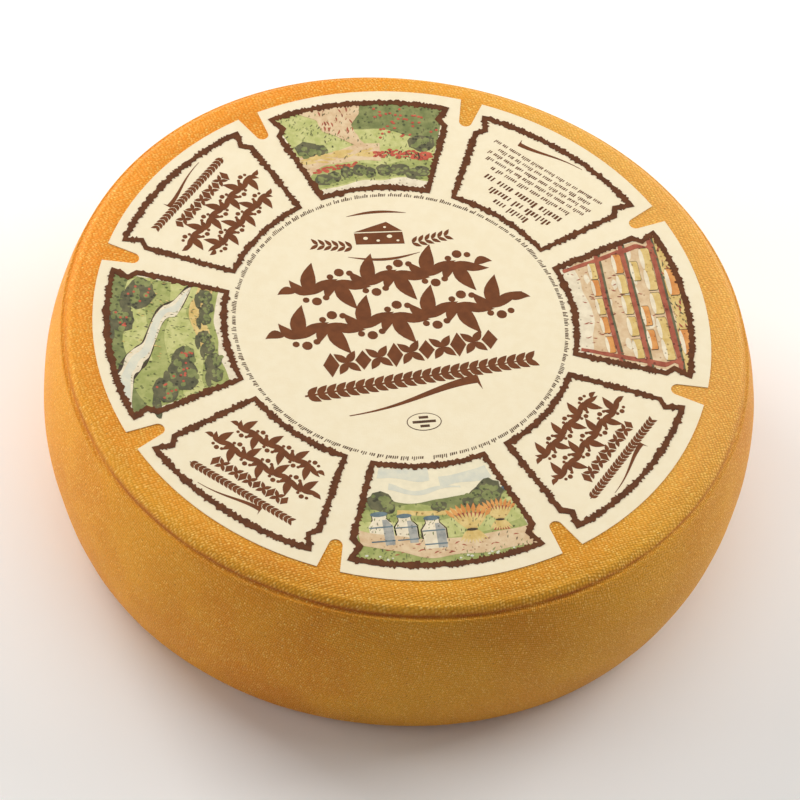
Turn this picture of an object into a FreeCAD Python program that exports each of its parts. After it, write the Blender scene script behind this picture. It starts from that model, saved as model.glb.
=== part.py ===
"""Uncut wheel of washed-rind pressed cheese with a round notched paper label on its top face.

The frame is in millimetres, +Z up. The origin is on the ground under the middle of the wheel,
-Y is the front and +X the right-hand side. The wheel is one half section revolved: flat top,
shoulder, low welt, crease, bulged wall, rounded foot and flat base. The label is a padded disc
with one thumb notch cut and repeated round its rim.
"""
import FreeCAD, Part
import math
import os

import Sketcher

Vector = FreeCAD.Vector
doc = FreeCAD.newDocument("cheese")

# ---------------------------------------------------------------- driving dimensions
SIZES = (
    # the wheel
    ("wheel_radius", 96.3, "radius at the fullest part of the wall"),
    ("wheel_height", 57.6, "ground to the flat top face"),
    ("wall_bulge", 4.5, "how far the wall swells out past the top edge crease"),
    ("bulge_drop", 27.7, "depth of the fullest part of the wall below the top face"),
    ("crease_drop", 2.5, "depth of the top edge crease below the top face"),
    ("crease_width", 1.6, "width of the crease that the press cloth leaves"),
    ("crease_depth", 0.7, "depth of the crease into the rind"),
    ("welt_width", 3.0, "width of the low welt inside the crease"),
    ("welt_radius", 3.6, "radius of the welt's rounded back"),
    ("foot_round", 7.0, "radius of the rounded bottom edge"),
    # the label
    ("label_margin", 9.3, "bare rind between the label's rim and the crease"),
    ("label_thickness", 0.25, "thickness of the paper"),
    ("seat_margin", 0.6, "flat rind left all round outside the label"),
    ("label_shift_x", -0.93, "the label lies a little left of the wheel's middle"),
    ("label_shift_y", 0.89, "and a little towards the back"),
    ("label_turn", 38.1, "angle of the first thumb notch"),
    ("notch_count", 8, "thumb notches round the rim"),
    ("notch_depth", 9.5, "rim to the notch's tip"),
    ("notch_mouth", 6.1, "width of the notch at the rim"),
    ("notch_tip_radius", 1.8, "radius of the notch's rounded tip"),
)

sheet = doc.addObject("Spreadsheet::Sheet", "sizes")
for row, (alias, value, meaning) in enumerate(SIZES, start=1):
    sheet.set("A%d" % row, meaning)
    sheet.set("B%d" % row, str(value))
    sheet.setAlias("B%d" % row, alias)

# sizes that follow from the driving ones
FOLLOWING = (
    ("crease_radius", "=wheel_radius - wall_bulge", "top edge crease, where the wall starts"),
    ("lip_radius", "=crease_radius - crease_width / 2", "lip inside the crease"),
    ("label_radius", "=crease_radius - label_margin", "rim of the label"),
    ("label_shift", "=sqrt(label_shift_x ^ 2 + label_shift_y ^ 2)", "label off the middle"),
    ("flat_radius", "=label_radius + label_shift + seat_margin", "flat part of the top face"),
    ("shoulder_radius", "=((lip_radius - flat_radius) ^ 2 + crease_drop ^ 2) / (2 * crease_drop)",
     "arc of the shoulder, from the flat top to the lip"),
    ("wall_radius", "=((bulge_drop - crease_drop) ^ 2 + wall_bulge ^ 2) / (2 * wall_bulge)",
     "arc of the bulged wall"),
)
for row, (alias, formula, meaning) in enumerate(FOLLOWING, start=len(SIZES) + 2):
    sheet.set("A%d" % row, meaning)
    sheet.set("B%d" % row, formula)
    sheet.setAlias("B%d" % row, alias)
doc.recompute()


def size(alias):
    """Value of one cell of the sheet, in millimetres or degrees."""
    return float(sheet.get(alias))


# ---------------------------------------------------------------- sketches
def origin_plane(body, role):
    """The body's own origin plane with this role, such as XY_Plane."""
    for feature in body.Origin.OriginFeatures:
        if feature.Role == role:
            return feature
    raise ValueError("no plane " + role)


def bind(sketch, kind, arguments, formula):
    """Add a dimension to the sketch and tie it to a formula on the sheet."""
    index = sketch.addConstraint(Sketcher.Constraint(kind, *arguments))
    sketch.setExpression("Constraints[%d]" % index, formula)


def new_sketch(body, name, plane):
    """Sketch on one of the body's own planes."""
    sketch = body.newObject("Sketcher::SketchObject", name)
    sketch.AttachmentSupport = [(origin_plane(body, plane), "")]
    sketch.MapMode = "FlatFace"
    return sketch



# ---------------------------------------------------------------- the wheel
def on_arc(middle, radius, reach):
    """Upper point of an arc at this distance from the wheel's axis."""
    return Vector(reach, middle.y + math.sqrt(radius ** 2 - (reach - middle.x) ** 2), 0)


def beside(first, second, offset):
    """Point this far to the left of the middle of the straight line between two points."""
    along = (second - first).normalize()
    return (first + second) / 2 + Vector(-along.y, along.x, 0) * offset


def half_section():
    """Corners of the half section and a middle point for each arc, x from the axis, y up."""
    height = size("wheel_height")
    lip = Vector(size("lip_radius"), height - size("crease_drop"), 0)
    shoulder_radius = size("shoulder_radius")
    shoulder = Vector(size("flat_radius"), height - shoulder_radius, 0)
    welt_start = on_arc(shoulder, shoulder_radius, size("lip_radius") - size("welt_width"))
    welt_radius = size("welt_radius")
    welt_sag = welt_radius - math.sqrt(welt_radius ** 2 - (lip - welt_start).Length ** 2 / 4)

    wall_radius = size("wall_radius")
    wall = Vector(size("wheel_radius") - wall_radius, height - size("bulge_drop"), 0)
    below_top = size("bulge_drop") - size("crease_drop") - size("crease_width") / 2
    wall_top = wall + Vector(math.sqrt(wall_radius ** 2 - below_top ** 2), below_top, 0)

    foot_round = size("foot_round")
    run = math.sqrt((wall_radius - foot_round) ** 2 - (wall.y - foot_round) ** 2)
    foot = Vector(wall.x + run, foot_round, 0)
    foot_start = math.atan2(foot.y - wall.y, run)
    halfway = (foot_start - math.pi / 2) / 2
    return {
        "axis_top": Vector(0, height, 0),
        "flat_end": Vector(size("flat_radius"), height, 0),
        "shoulder_middle": on_arc(shoulder, shoulder_radius, (shoulder.x + welt_start.x) / 2),
        "welt_start": welt_start,
        "welt_crest": beside(welt_start, lip, welt_sag),
        "lip": lip,
        "crease_root": beside(lip, wall_top, -size("crease_depth")),
        "wall_top": wall_top,
        "wall_belly": Vector(size("wheel_radius"), wall.y, 0),
        "wall_foot": foot + Vector(math.cos(foot_start), math.sin(foot_start), 0) * foot_round,
        "foot_belly": foot + Vector(math.cos(halfway), math.sin(halfway), 0) * foot_round,
        "base_end": Vector(foot.x, 0, 0),
        "origin": Vector(0, 0, 0),
    }


# each side in order round the section: its first corner, an arc's middle point, its last corner
SIDES = (
    ("axis_top", None, "flat_end"),
    ("flat_end", "shoulder_middle", "welt_start"),
    ("welt_start", "welt_crest", "lip"),
    ("lip", None, "crease_root"),
    ("crease_root", None, "wall_top"),
    ("wall_top", "wall_belly", "wall_foot"),
    ("wall_foot", "foot_belly", "base_end"),
    ("base_end", None, "origin"),
    ("origin", None, "axis_top"),
    ("lip", None, "wall_top"),
)
TOP, SHOULDER, WELT, INNER_SIDE, OUTER_SIDE, WALL, FOOT, BASE, AXIS, CREASE_MOUTH = range(10)
ORIGIN = (-1, 1)

wheel = doc.addObject("PartDesign::Body", "cheese_wheel")
wheel.Label = "cheese_wheel"
section = new_sketch(wheel, "half_section", "XZ_Plane")
at = half_section()
for index, (first, middle, last) in enumerate(SIDES):
    if middle:
        section.addGeometry(Part.Arc(at[first], at[middle], at[last]), False)
    else:
        section.addGeometry(Part.LineSegment(at[first], at[last]), index == CREASE_MOUTH)


def end(side, corner):
    """Side and end number of the end that lies at this corner, as constraints want them."""
    near_first = (section.getPoint(side, 1) - at[corner]).Length
    near_last = (section.getPoint(side, 2) - at[corner]).Length
    return side, 1 if near_first < near_last else 2


for before, after, corner in (
        (AXIS, TOP, "axis_top"), (SHOULDER, WELT, "welt_start"), (WELT, INNER_SIDE, "lip"),
        (INNER_SIDE, OUTER_SIDE, "crease_root"), (OUTER_SIDE, WALL, "wall_top"),
        (BASE, AXIS, "origin"), (INNER_SIDE, CREASE_MOUTH, "lip"),
        (OUTER_SIDE, CREASE_MOUTH, "wall_top")):
    section.addConstraint(Sketcher.Constraint("Coincident", *end(before, corner), *end(after, corner)))
for before, after, corner in ((TOP, SHOULDER, "flat_end"), (WALL, FOOT, "wall_foot"),
                              (FOOT, BASE, "base_end")):
    section.addConstraint(Sketcher.Constraint("Tangent", *end(before, corner), *end(after, corner)))
section.addConstraint(Sketcher.Constraint("Coincident", *end(BASE, "origin"), *ORIGIN))
section.addConstraint(Sketcher.Constraint("Horizontal", TOP))
section.addConstraint(Sketcher.Constraint("Horizontal", BASE))
section.addConstraint(Sketcher.Constraint("Vertical", AXIS))
section.addConstraint(Sketcher.Constraint("Equal", INNER_SIDE, OUTER_SIDE))

WALL_MIDDLE = (WALL, 3)
wall_middle = section.getPoint(*WALL_MIDDLE)
for kind, which, value, formula in (
        ("DistanceY", end(TOP, "axis_top"), at["axis_top"].y, "sizes.wheel_height"),
        ("DistanceX", end(TOP, "flat_end"), at["flat_end"].x, "sizes.flat_radius"),
        ("DistanceX", end(WELT, "welt_start"), at["welt_start"].x,
         "sizes.lip_radius - sizes.welt_width"),
        ("DistanceX", end(WELT, "lip"), at["lip"].x, "sizes.lip_radius"),
        ("DistanceY", end(WELT, "lip"), at["lip"].y, "sizes.wheel_height - sizes.crease_drop"),
        ("DistanceY", end(WALL, "wall_top"), at["wall_top"].y,
         "sizes.wheel_height - sizes.crease_drop - sizes.crease_width / 2"),
        ("DistanceX", WALL_MIDDLE, wall_middle.x, "sizes.wheel_radius - sizes.wall_radius"),
        ("DistanceY", WALL_MIDDLE, wall_middle.y, "sizes.wheel_height - sizes.bulge_drop")):
    bind(section, kind, (*ORIGIN, *which, value), formula)
for side, name in ((SHOULDER, "shoulder_radius"), (WELT, "welt_radius"), (WALL, "wall_radius"),
                   (FOOT, "foot_round")):
    bind(section, "Radius", (side, size(name)), "sizes." + name)
bind(section, "Distance", (*end(INNER_SIDE, "crease_root"), CREASE_MOUTH, size("crease_depth")),
     "sizes.crease_depth")
doc.recompute()

pressed_wheel = wheel.newObject("PartDesign::Revolution", "pressed_wheel")
pressed_wheel.Profile = section
pressed_wheel.ReferenceAxis = (section, ["V_Axis"])
pressed_wheel.Angle = 360
wheel.Tip = pressed_wheel
doc.recompute()


# ---------------------------------------------------------------- the paper label
label = doc.addObject("PartDesign::Body", "paper_label")
label.Label = "paper_label"

rim = new_sketch(label, "label_rim", "XY_Plane")
rim.addGeometry(Part.Circle(Vector(0, 0, 0), Vector(0, 0, 1), size("label_radius")), False)
rim.addConstraint(Sketcher.Constraint("Coincident", 0, 3, -1, 1))
bind(rim, "Radius", (0, size("label_radius")), "sizes.label_radius")

paper = label.newObject("PartDesign::Pad", "paper")
paper.Profile = rim
paper.setExpression("Length", "sizes.label_thickness")
doc.recompute()

# one notch on the +X side: mouth wider than the rounded tip, open past the rim
OPEN_END = 2.0
rim_x = size("label_radius")
half_mouth = size("notch_mouth") / 2
tip_radius = size("notch_tip_radius")
tip_middle = rim_x - size("notch_depth") + tip_radius
lean = math.atan2(half_mouth, rim_x - tip_middle)
reach = math.hypot(half_mouth, rim_x - tip_middle)
touch = lean + math.acos(tip_radius / reach)
touch_x = tip_middle + tip_radius * math.cos(touch)
touch_y = tip_radius * math.sin(touch)

notch = new_sketch(label, "notch_outline", "XY_Plane")
corners = [Vector(touch_x, touch_y, 0), Vector(rim_x, half_mouth, 0),
           Vector(rim_x + OPEN_END, half_mouth, 0), Vector(rim_x + OPEN_END, -half_mouth, 0),
           Vector(rim_x, -half_mouth, 0), Vector(touch_x, -touch_y, 0)]
for first, second in zip(corners, corners[1:]):
    notch.addGeometry(Part.LineSegment(first, second), False)
tip_circle = Part.Circle(Vector(tip_middle, 0, 0), Vector(0, 0, 1), tip_radius)
notch.addGeometry(Part.ArcOfCircle(tip_circle, touch, 2 * math.pi - touch), False)

UPPER_WALL, UPPER_LIP, OPEN_SIDE, LOWER_LIP, LOWER_WALL, TIP = range(6)
for first, second in ((UPPER_WALL, UPPER_LIP), (UPPER_LIP, OPEN_SIDE),
                      (OPEN_SIDE, LOWER_LIP), (LOWER_LIP, LOWER_WALL)):
    notch.addConstraint(Sketcher.Constraint("Coincident", first, 2, second, 1))
notch.addConstraint(Sketcher.Constraint("Tangent", TIP, 1, UPPER_WALL, 1))
notch.addConstraint(Sketcher.Constraint("Tangent", TIP, 2, LOWER_WALL, 2))
notch.addConstraint(Sketcher.Constraint("PointOnObject", TIP, 3, -1))
notch.addConstraint(Sketcher.Constraint("Horizontal", UPPER_LIP))
notch.addConstraint(Sketcher.Constraint("Vertical", OPEN_SIDE))
notch.addConstraint(Sketcher.Constraint("Horizontal", LOWER_LIP))
notch.addConstraint(Sketcher.Constraint("Symmetric", UPPER_LIP, 1, LOWER_LIP, 2, -1))
bind(notch, "DistanceX", (-1, 1, UPPER_LIP, 1, rim_x), "sizes.label_radius")
bind(notch, "DistanceY", (LOWER_LIP, 2, UPPER_LIP, 1, 2 * half_mouth), "sizes.notch_mouth")
bind(notch, "Radius", (TIP, tip_radius), "sizes.notch_tip_radius")
bind(notch, "DistanceX", (-1, 1, TIP, 3, tip_middle),
     "sizes.label_radius - sizes.notch_depth + sizes.notch_tip_radius")
notch.addConstraint(Sketcher.Constraint("DistanceX", UPPER_LIP, 1, UPPER_LIP, 2, OPEN_END))
doc.recompute()

disc_volume = paper.Shape.Volume
thumb_cut = label.newObject("PartDesign::Pocket", "thumb_notch")
thumb_cut.Profile = notch
thumb_cut.Type = "ThroughAll"
thumb_cut.Reversed = True
doc.recompute()

all_notches = label.newObject("PartDesign::PolarPattern", "all_notches")
all_notches.Originals = [thumb_cut]
all_notches.Axis = (notch, ["N_Axis"])
all_notches.Angle = 360
all_notches.setExpression("Occurrences", "sizes.notch_count")
label.Tip = all_notches

label.Placement = FreeCAD.Placement(Vector(0, 0, 0), FreeCAD.Rotation(Vector(0, 0, 1), 1))
label.setExpression("Placement.Base.x", "sizes.label_shift_x")
label.setExpression("Placement.Base.y", "sizes.label_shift_y")
label.setExpression("Placement.Base.z", "sizes.wheel_height")
label.setExpression("Placement.Rotation.Angle", "sizes.label_turn")
doc.recompute()

# ---------------------------------------------------------------- checks and files
for item in doc.Objects:
    if "Invalid" in item.State or "Error" in item.State:
        raise RuntimeError("failed: " + item.Label)
for sketch in (section, rim, notch):
    if not sketch.FullyConstrained:
        raise RuntimeError("loose sketch: " + sketch.Label)
for part in (wheel, label):
    if part.Shape.isNull() or not part.Shape.isValid() or len(part.Shape.Solids) != 1:
        raise RuntimeError("bad solid: " + part.Label)

notch_volume = (disc_volume - label.Shape.Volume) / size("notch_count")
if notch_volume <= size("label_thickness") * tip_radius * size("notch_depth"):
    raise RuntimeError("the thumb notches cut too little")

os.makedirs("parts", exist_ok=True)
for part in (wheel, label):
    part.Shape.exportStep("parts/%s.step" % part.Label)
    print("%s: %.0f mm3, box %s" % (part.Label, part.Shape.Volume, part.Shape.BoundBox))
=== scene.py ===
"""Looks of an uncut cheese wheel: cloth-marked rind, notched paper label and its printed fields.

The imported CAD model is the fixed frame. Everything here is in metres, +Z up, with -Y in front.
"""
from __future__ import annotations

import logging
import math
import random
from collections.abc import Callable
from dataclasses import dataclass, field
from enum import Enum

import bpy
import numpy as np
from mathutils import Matrix, Vector, noise

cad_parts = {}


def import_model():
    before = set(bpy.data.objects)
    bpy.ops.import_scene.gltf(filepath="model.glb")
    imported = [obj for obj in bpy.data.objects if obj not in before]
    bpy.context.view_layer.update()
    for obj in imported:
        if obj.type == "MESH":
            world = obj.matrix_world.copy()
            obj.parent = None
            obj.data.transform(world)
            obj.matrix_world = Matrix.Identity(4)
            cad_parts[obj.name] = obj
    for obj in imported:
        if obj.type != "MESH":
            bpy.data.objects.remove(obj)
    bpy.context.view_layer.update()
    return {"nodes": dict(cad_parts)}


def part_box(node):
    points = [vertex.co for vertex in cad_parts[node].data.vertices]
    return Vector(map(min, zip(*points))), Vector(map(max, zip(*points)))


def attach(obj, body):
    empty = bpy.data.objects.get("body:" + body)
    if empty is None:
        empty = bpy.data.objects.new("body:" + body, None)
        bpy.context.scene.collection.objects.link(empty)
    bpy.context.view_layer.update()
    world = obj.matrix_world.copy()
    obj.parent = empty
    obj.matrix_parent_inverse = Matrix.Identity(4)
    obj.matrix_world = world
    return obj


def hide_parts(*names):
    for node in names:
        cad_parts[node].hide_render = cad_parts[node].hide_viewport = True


LOG = logging.getLogger("cheese_wheel")
MM = 0.001
BODY = "root"
PRINT_SHIFT = -0.009  # how far the print sits off the label's middle in x, in label radii
Colour = tuple[float, float, float]
Point = tuple[float, float]
Outline = list[Point]
Edge = Callable[[float], float]


# ---------------------------------------------------------------- small helpers
def srgb(red: int, green: int, blue: int) -> Colour:
    """Turn a display colour into a linear one.

    Args:
        red, green, blue: display values from 0 to 255.

    Returns:
        The same colour as three linear values from 0 to 1.
    """
    linear = []
    for value in (red, green, blue):
        share = value / 255
        low = share / 12.92
        high = ((share + 0.055) / 1.055) ** 2.4
        linear.append(low if share <= 0.04045 else high)
    return tuple(linear)


def smooth(low: float, high: float, value: np.ndarray) -> np.ndarray:
    """Ease from 0 at low to 1 at high.

    Args:
        low, high: the two ends of the ramp.
        value: numbers to place on the ramp.

    Returns:
        Shares from 0 to 1, one for each number.
    """
    share = np.clip((value - low) / (high - low), 0.0, 1.0)
    return share * share * (3 - 2 * share)


def rough(points: np.ndarray, pitch: float, seed: float) -> np.ndarray:
    """Smooth random heights over space.

    Args:
        points: places, one row each, in metres.
        pitch: rough distance between two bumps, in metres.
        seed: shifts the pattern, so that two calls differ.

    Returns:
        One height from about -1 to 1 for each place.
    """
    shift = Vector((seed * 7.31, seed * 3.17, seed * 5.93))
    return np.array([noise.noise(Vector(p) / pitch + shift) for p in points])


def deselect() -> None:
    """Leave nothing selected, so that an operator acts only on what comes next."""
    if bpy.context.object is not None and bpy.context.object.mode != "OBJECT":
        bpy.ops.object.mode_set(mode="OBJECT")
    bpy.ops.object.select_all(action="DESELECT")


def coordinates(mesh: bpy.types.Mesh) -> np.ndarray:
    """Read where a mesh's vertices are.

    Args:
        mesh: the mesh.

    Returns:
        One row of three numbers for each vertex.
    """
    flat = np.empty(len(mesh.vertices) * 3)
    mesh.vertices.foreach_get("co", flat)
    return flat.reshape(-1, 3)


def place(mesh: bpy.types.Mesh, points: np.ndarray) -> None:
    """Move a mesh's vertices to these places."""
    mesh.vertices.foreach_set("co", np.ascontiguousarray(points, dtype=float).ravel())
    mesh.update()


def turned(x: np.ndarray, y: np.ndarray, degrees: float) -> np.ndarray:
    """Read places from axes that are turned by an angle.

    Args:
        x, y: the places.
        degrees: the angle.

    Returns:
        One row of two numbers for each place.
    """
    turn = math.radians(degrees)
    return np.column_stack([x * math.cos(turn) + y * math.sin(turn),
                            y * math.cos(turn) - x * math.sin(turn)])


def lay(name: str, points: list[tuple[float, float, float]]) -> bpy.types.Object:
    """Name the piece being edited, set it at the origin and move its vertices.

    Args:
        name: the piece's name.
        points: the vertices' places, in metres.

    Returns:
        The piece.
    """
    bpy.ops.object.mode_set(mode="OBJECT")
    piece = bpy.context.object
    piece.name = piece.data.name = name
    piece.matrix_world = Matrix.Identity(4)
    place(piece.data, np.array(points))
    bpy.ops.object.mode_set(mode="EDIT")
    bpy.ops.mesh.select_all(action="SELECT")
    return piece


def face_outwards() -> None:
    """Turn the faces of the piece being edited outwards and leave edit mode."""
    bpy.ops.mesh.select_all(action="SELECT")
    bpy.ops.mesh.normals_make_consistent(inside=False)
    bpy.ops.object.mode_set(mode="OBJECT")


def set_attribute(mesh: bpy.types.Mesh, name: str, values: np.ndarray) -> None:
    """Store one number for each vertex, which a material can read by name."""
    attribute = mesh.attributes.new(name, "FLOAT", "POINT")
    attribute.data.foreach_set("value", values.astype(np.float32))


def ride(piece: bpy.types.Object) -> None:
    """Fix a finished piece to the body."""
    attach(piece, BODY)


# ---------------------------------------------------------------- shader building
class Nodes:
    """A material's or a group's node tree, with short ways to add and join nodes."""

    def __init__(self, tree: bpy.types.NodeTree) -> None:
        """Work on this tree."""
        self.tree = tree

    def add(self, kind: str, inputs: dict[str, object] | None = None,
            **settings: object) -> bpy.types.Node:
        """Add a node.

        Args:
            kind: the node's type without its ShaderNode prefix.
            inputs: what feeds its sockets, by the sockets' names.
            **settings: properties of the node, set by name.

        Returns:
            The new node.
        """
        node = self.tree.nodes.new("ShaderNode" + kind)
        for name, value in settings.items():
            setattr(node, name, value)
        for name, source in (inputs or {}).items():
            self.feed(node.inputs[name], source)
        return node

    def feed(self, socket: bpy.types.NodeSocket, source: object) -> None:
        """Link a source to a socket, or set the socket's plain value.

        Args:
            socket: the socket to feed.
            source: another node's socket, a number, a vector or a linear colour.
        """
        if isinstance(source, bpy.types.NodeSocket):
            self.tree.links.new(source, socket)
        elif isinstance(source, tuple) and len(source) == 3 and socket.type == "RGBA":
            socket.default_value = (*source, 1.0)
        else:
            socket.default_value = source

    def maths(self, operation: str, *sources: object, kind: str = "Math",
              **settings: object) -> bpy.types.NodeSocket:
        """Add a Math or a Vector Math node.

        Args:
            operation: what it works out.
            *sources: what feeds its sockets, in their order.
            kind: Math or VectorMath.
            **settings: further properties of the node.

        Returns:
            The result's socket.
        """
        node = self.add(kind, operation=operation, **settings)
        for socket, source in zip(node.inputs, sources):
            self.feed(socket, source)
        return node.outputs[0]

    def ramp(self, source: object, low: float, high: float,
             out_low: float = 0.0, out_high: float = 1.0) -> bpy.types.NodeSocket:
        """Ease a value from one range to another.

        Args:
            source: the value.
            low, high: the ends of the range that it comes from.
            out_low, out_high: what they become.

        Returns:
            The result's socket.
        """
        node = self.add("MapRange", {"Value": source, "From Min": low, "From Max": high,
                                     "To Min": out_low, "To Max": out_high},
                        interpolation_type="SMOOTHSTEP", clamp=True)
        return node.outputs["Result"]

    def mix(self, share: object, first: object, second: object,
            blend: str = "MIX") -> bpy.types.NodeSocket:
        """Mix two colours.

        Args:
            share: how much of the second colour shows, a socket or a number.
            first, second: sockets or linear colours.
            blend: the mixing mode.

        Returns:
            The mixed colour's socket.
        """
        node = self.add("Mix", data_type="RGBA", blend_type=blend, clamp_result=True)
        for index, source in ((0, share), (6, first), (7, second)):
            self.feed(node.inputs[index], source)
        return node.outputs[2]

    def noise(self, vector: object, scale: object, detail: float = 3.0,
              roughness: float = 0.55, output: str = "Fac") -> bpy.types.NodeSocket:
        """Add a noise texture.

        Args:
            vector: where it is read.
            scale: its scale, a socket or a number.
            detail: how many finer layers it has.
            roughness: how strong they are.
            output: Fac for one value or Color for three.

        Returns:
            The output's socket.
        """
        node = self.add("TexNoise", {"Vector": vector, "Scale": scale, "Detail": detail,
                                     "Roughness": roughness})
        return node.outputs[output]

    def attribute(self, name: str) -> bpy.types.NodeSocket:
        """Read one of the numbers that the piece stores for its vertices."""
        return self.add("Attribute", attribute_name=name).outputs["Fac"]

    def group(self, name: str, inputs: dict[str, object]) -> bpy.types.Node:
        """Place a node group and feed its sockets by name."""
        return self.add("Group", inputs, node_tree=bpy.data.node_groups[name])

    def bump(self, shader: bpy.types.Node, height: object, strength: float,
             depth: float) -> None:
        """Tilt a shader's normal by a height.

        Args:
            shader: the shader that takes the normal.
            height: the height's socket, from about 0 to 1.
            strength: how much of it shows.
            depth: what a height of 1 stands for, in metres.
        """
        node = self.add("Bump", {"Strength": strength, "Distance": depth, "Height": height})
        self.feed(shader.inputs["Normal"], node.outputs["Normal"])


def new_group(name: str, inputs: tuple, outputs: tuple) -> tuple[
        Nodes, bpy.types.Node, bpy.types.Node]:
    """Start a shader node group.

    Args:
        name: the group's name.
        inputs, outputs: (name, socket type, default or None) for each socket.

    Returns:
        The group's nodes, its input node and its output node.
    """
    tree = bpy.data.node_groups.new(name, "ShaderNodeTree")
    for direction, sockets in (("INPUT", inputs), ("OUTPUT", outputs)):
        for label, kind, default in sockets:
            socket = tree.interface.new_socket(name=label, in_out=direction, socket_type=kind)
            if default is not None:
                socket.default_value = default
    nodes = Nodes(tree)
    return nodes, tree.nodes.new("NodeGroupInput"), tree.nodes.new("NodeGroupOutput")


def cloth_imprint_group() -> bpy.types.NodeTree:
    """Marks of the press cloth: a jittered grid of nubs, each of its own strength, with a few nubs
    picked out as glints for a painted highlight.

    Returns:
        The node group, with outputs for the nubs, their strength and the height.
    """
    nodes, given, made = new_group(
        "cloth imprint",
        (("Vector", "NodeSocketVector", None), ("Per Metre", "NodeSocketFloat", 1600.0),
         ("Jitter", "NodeSocketFloat", 0.42),
         ("Thread Pitch", "NodeSocketVector", (1.0, 0.72, 1.0))),
        (("Nubs", "NodeSocketFloat", None), ("Strength", "NodeSocketFloat", None),
         ("Sparks", "NodeSocketFloat", None), ("Height", "NodeSocketFloat", None)))
    vector = given.outputs["Vector"]
    wander = nodes.noise(vector, 60.0, 2.0, 0.5, "Color")
    centred = nodes.maths("SUBTRACT", wander, (0.5, 0.5, 0.5), kind="VectorMath")
    threads = nodes.maths("MULTIPLY", vector, given.outputs["Thread Pitch"], kind="VectorMath")
    pulled = nodes.maths("MULTIPLY_ADD", centred, (0.003, 0.003, 0.0), threads,
                         kind="VectorMath")
    cells = nodes.add("TexVoronoi", {"Vector": pulled, "Scale": given.outputs["Per Metre"],
                                     "Randomness": given.outputs["Jitter"]},
                      voronoi_dimensions="2D", feature="F1")
    nubs = nodes.ramp(cells.outputs["Distance"], 0.58, 0.10)
    split = nodes.add("SeparateColor")
    nodes.feed(split.inputs[0], cells.outputs["Color"])
    strength = nodes.ramp(split.outputs[0], 0.2, 1.0, 0.08, 1.0)
    lifted = nodes.maths("MULTIPLY_ADD", strength, 0.5, 0.6)
    # Glints are a few nubs that the rind brightens further as a painted highlight.
    for name, source in (("Nubs", nubs), ("Strength", strength),
                         ("Sparks", nodes.ramp(split.outputs[1], 0.88, 0.94)),
                         ("Height", nodes.maths("MULTIPLY", nubs, lifted))):
        nodes.feed(made.inputs[name], source)
    return nodes.tree


def mottle_group() -> bpy.types.NodeTree:
    """Uneven pigment: broad clouds, a fine grain and small dark specks.

    Returns:
        The node group, with outputs for the clouds, the grain and the specks.
    """
    nodes, given, made = new_group(
        "mottle",
        (("Vector", "NodeSocketVector", None), ("Cloud Scale", "NodeSocketFloat", 60.0),
         ("Speck Scale", "NodeSocketFloat", 500.0), ("Speck Amount", "NodeSocketFloat", 0.2)),
        (("Clouds", "NodeSocketFloat", None), ("Grain", "NodeSocketFloat", None),
         ("Specks", "NodeSocketFloat", None)))
    vector = given.outputs["Vector"]
    clouds = nodes.noise(vector, given.outputs["Cloud Scale"], 4.0, 0.6)
    specks = nodes.add("TexVoronoi", {"Vector": vector, "Scale": given.outputs["Speck Scale"],
                                      "Randomness": 1.0},
                       voronoi_dimensions="3D", feature="F1")
    near = nodes.maths("SUBTRACT", given.outputs["Speck Amount"], specks.outputs["Distance"])
    for name, source in (("Clouds", nodes.ramp(clouds, 0.3, 0.7)),
                         ("Grain", nodes.noise(vector, 2600.0, 2.0)),
                         ("Specks", nodes.ramp(near, 0.0, 0.08))):
        nodes.feed(made.inputs[name], source)
    return nodes.tree


def new_material(name: str, roughness: float, specular: float) -> tuple[
        bpy.types.Material, Nodes, bpy.types.Node]:
    """Start a material with a Principled shader.

    Args:
        name: the material's name.
        roughness: roughness on the shader's own socket.
        specular: specular level on the shader's own socket.

    Returns:
        The material, its nodes and the shader.
    """
    material = bpy.data.materials.new(name)
    material.use_nodes = True
    nodes = Nodes(material.node_tree)
    shader = material.node_tree.nodes["Principled BSDF"]
    shader.inputs["Roughness"].default_value = roughness
    shader.inputs["Specular IOR Level"].default_value = specular
    return material, nodes, shader


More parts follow.
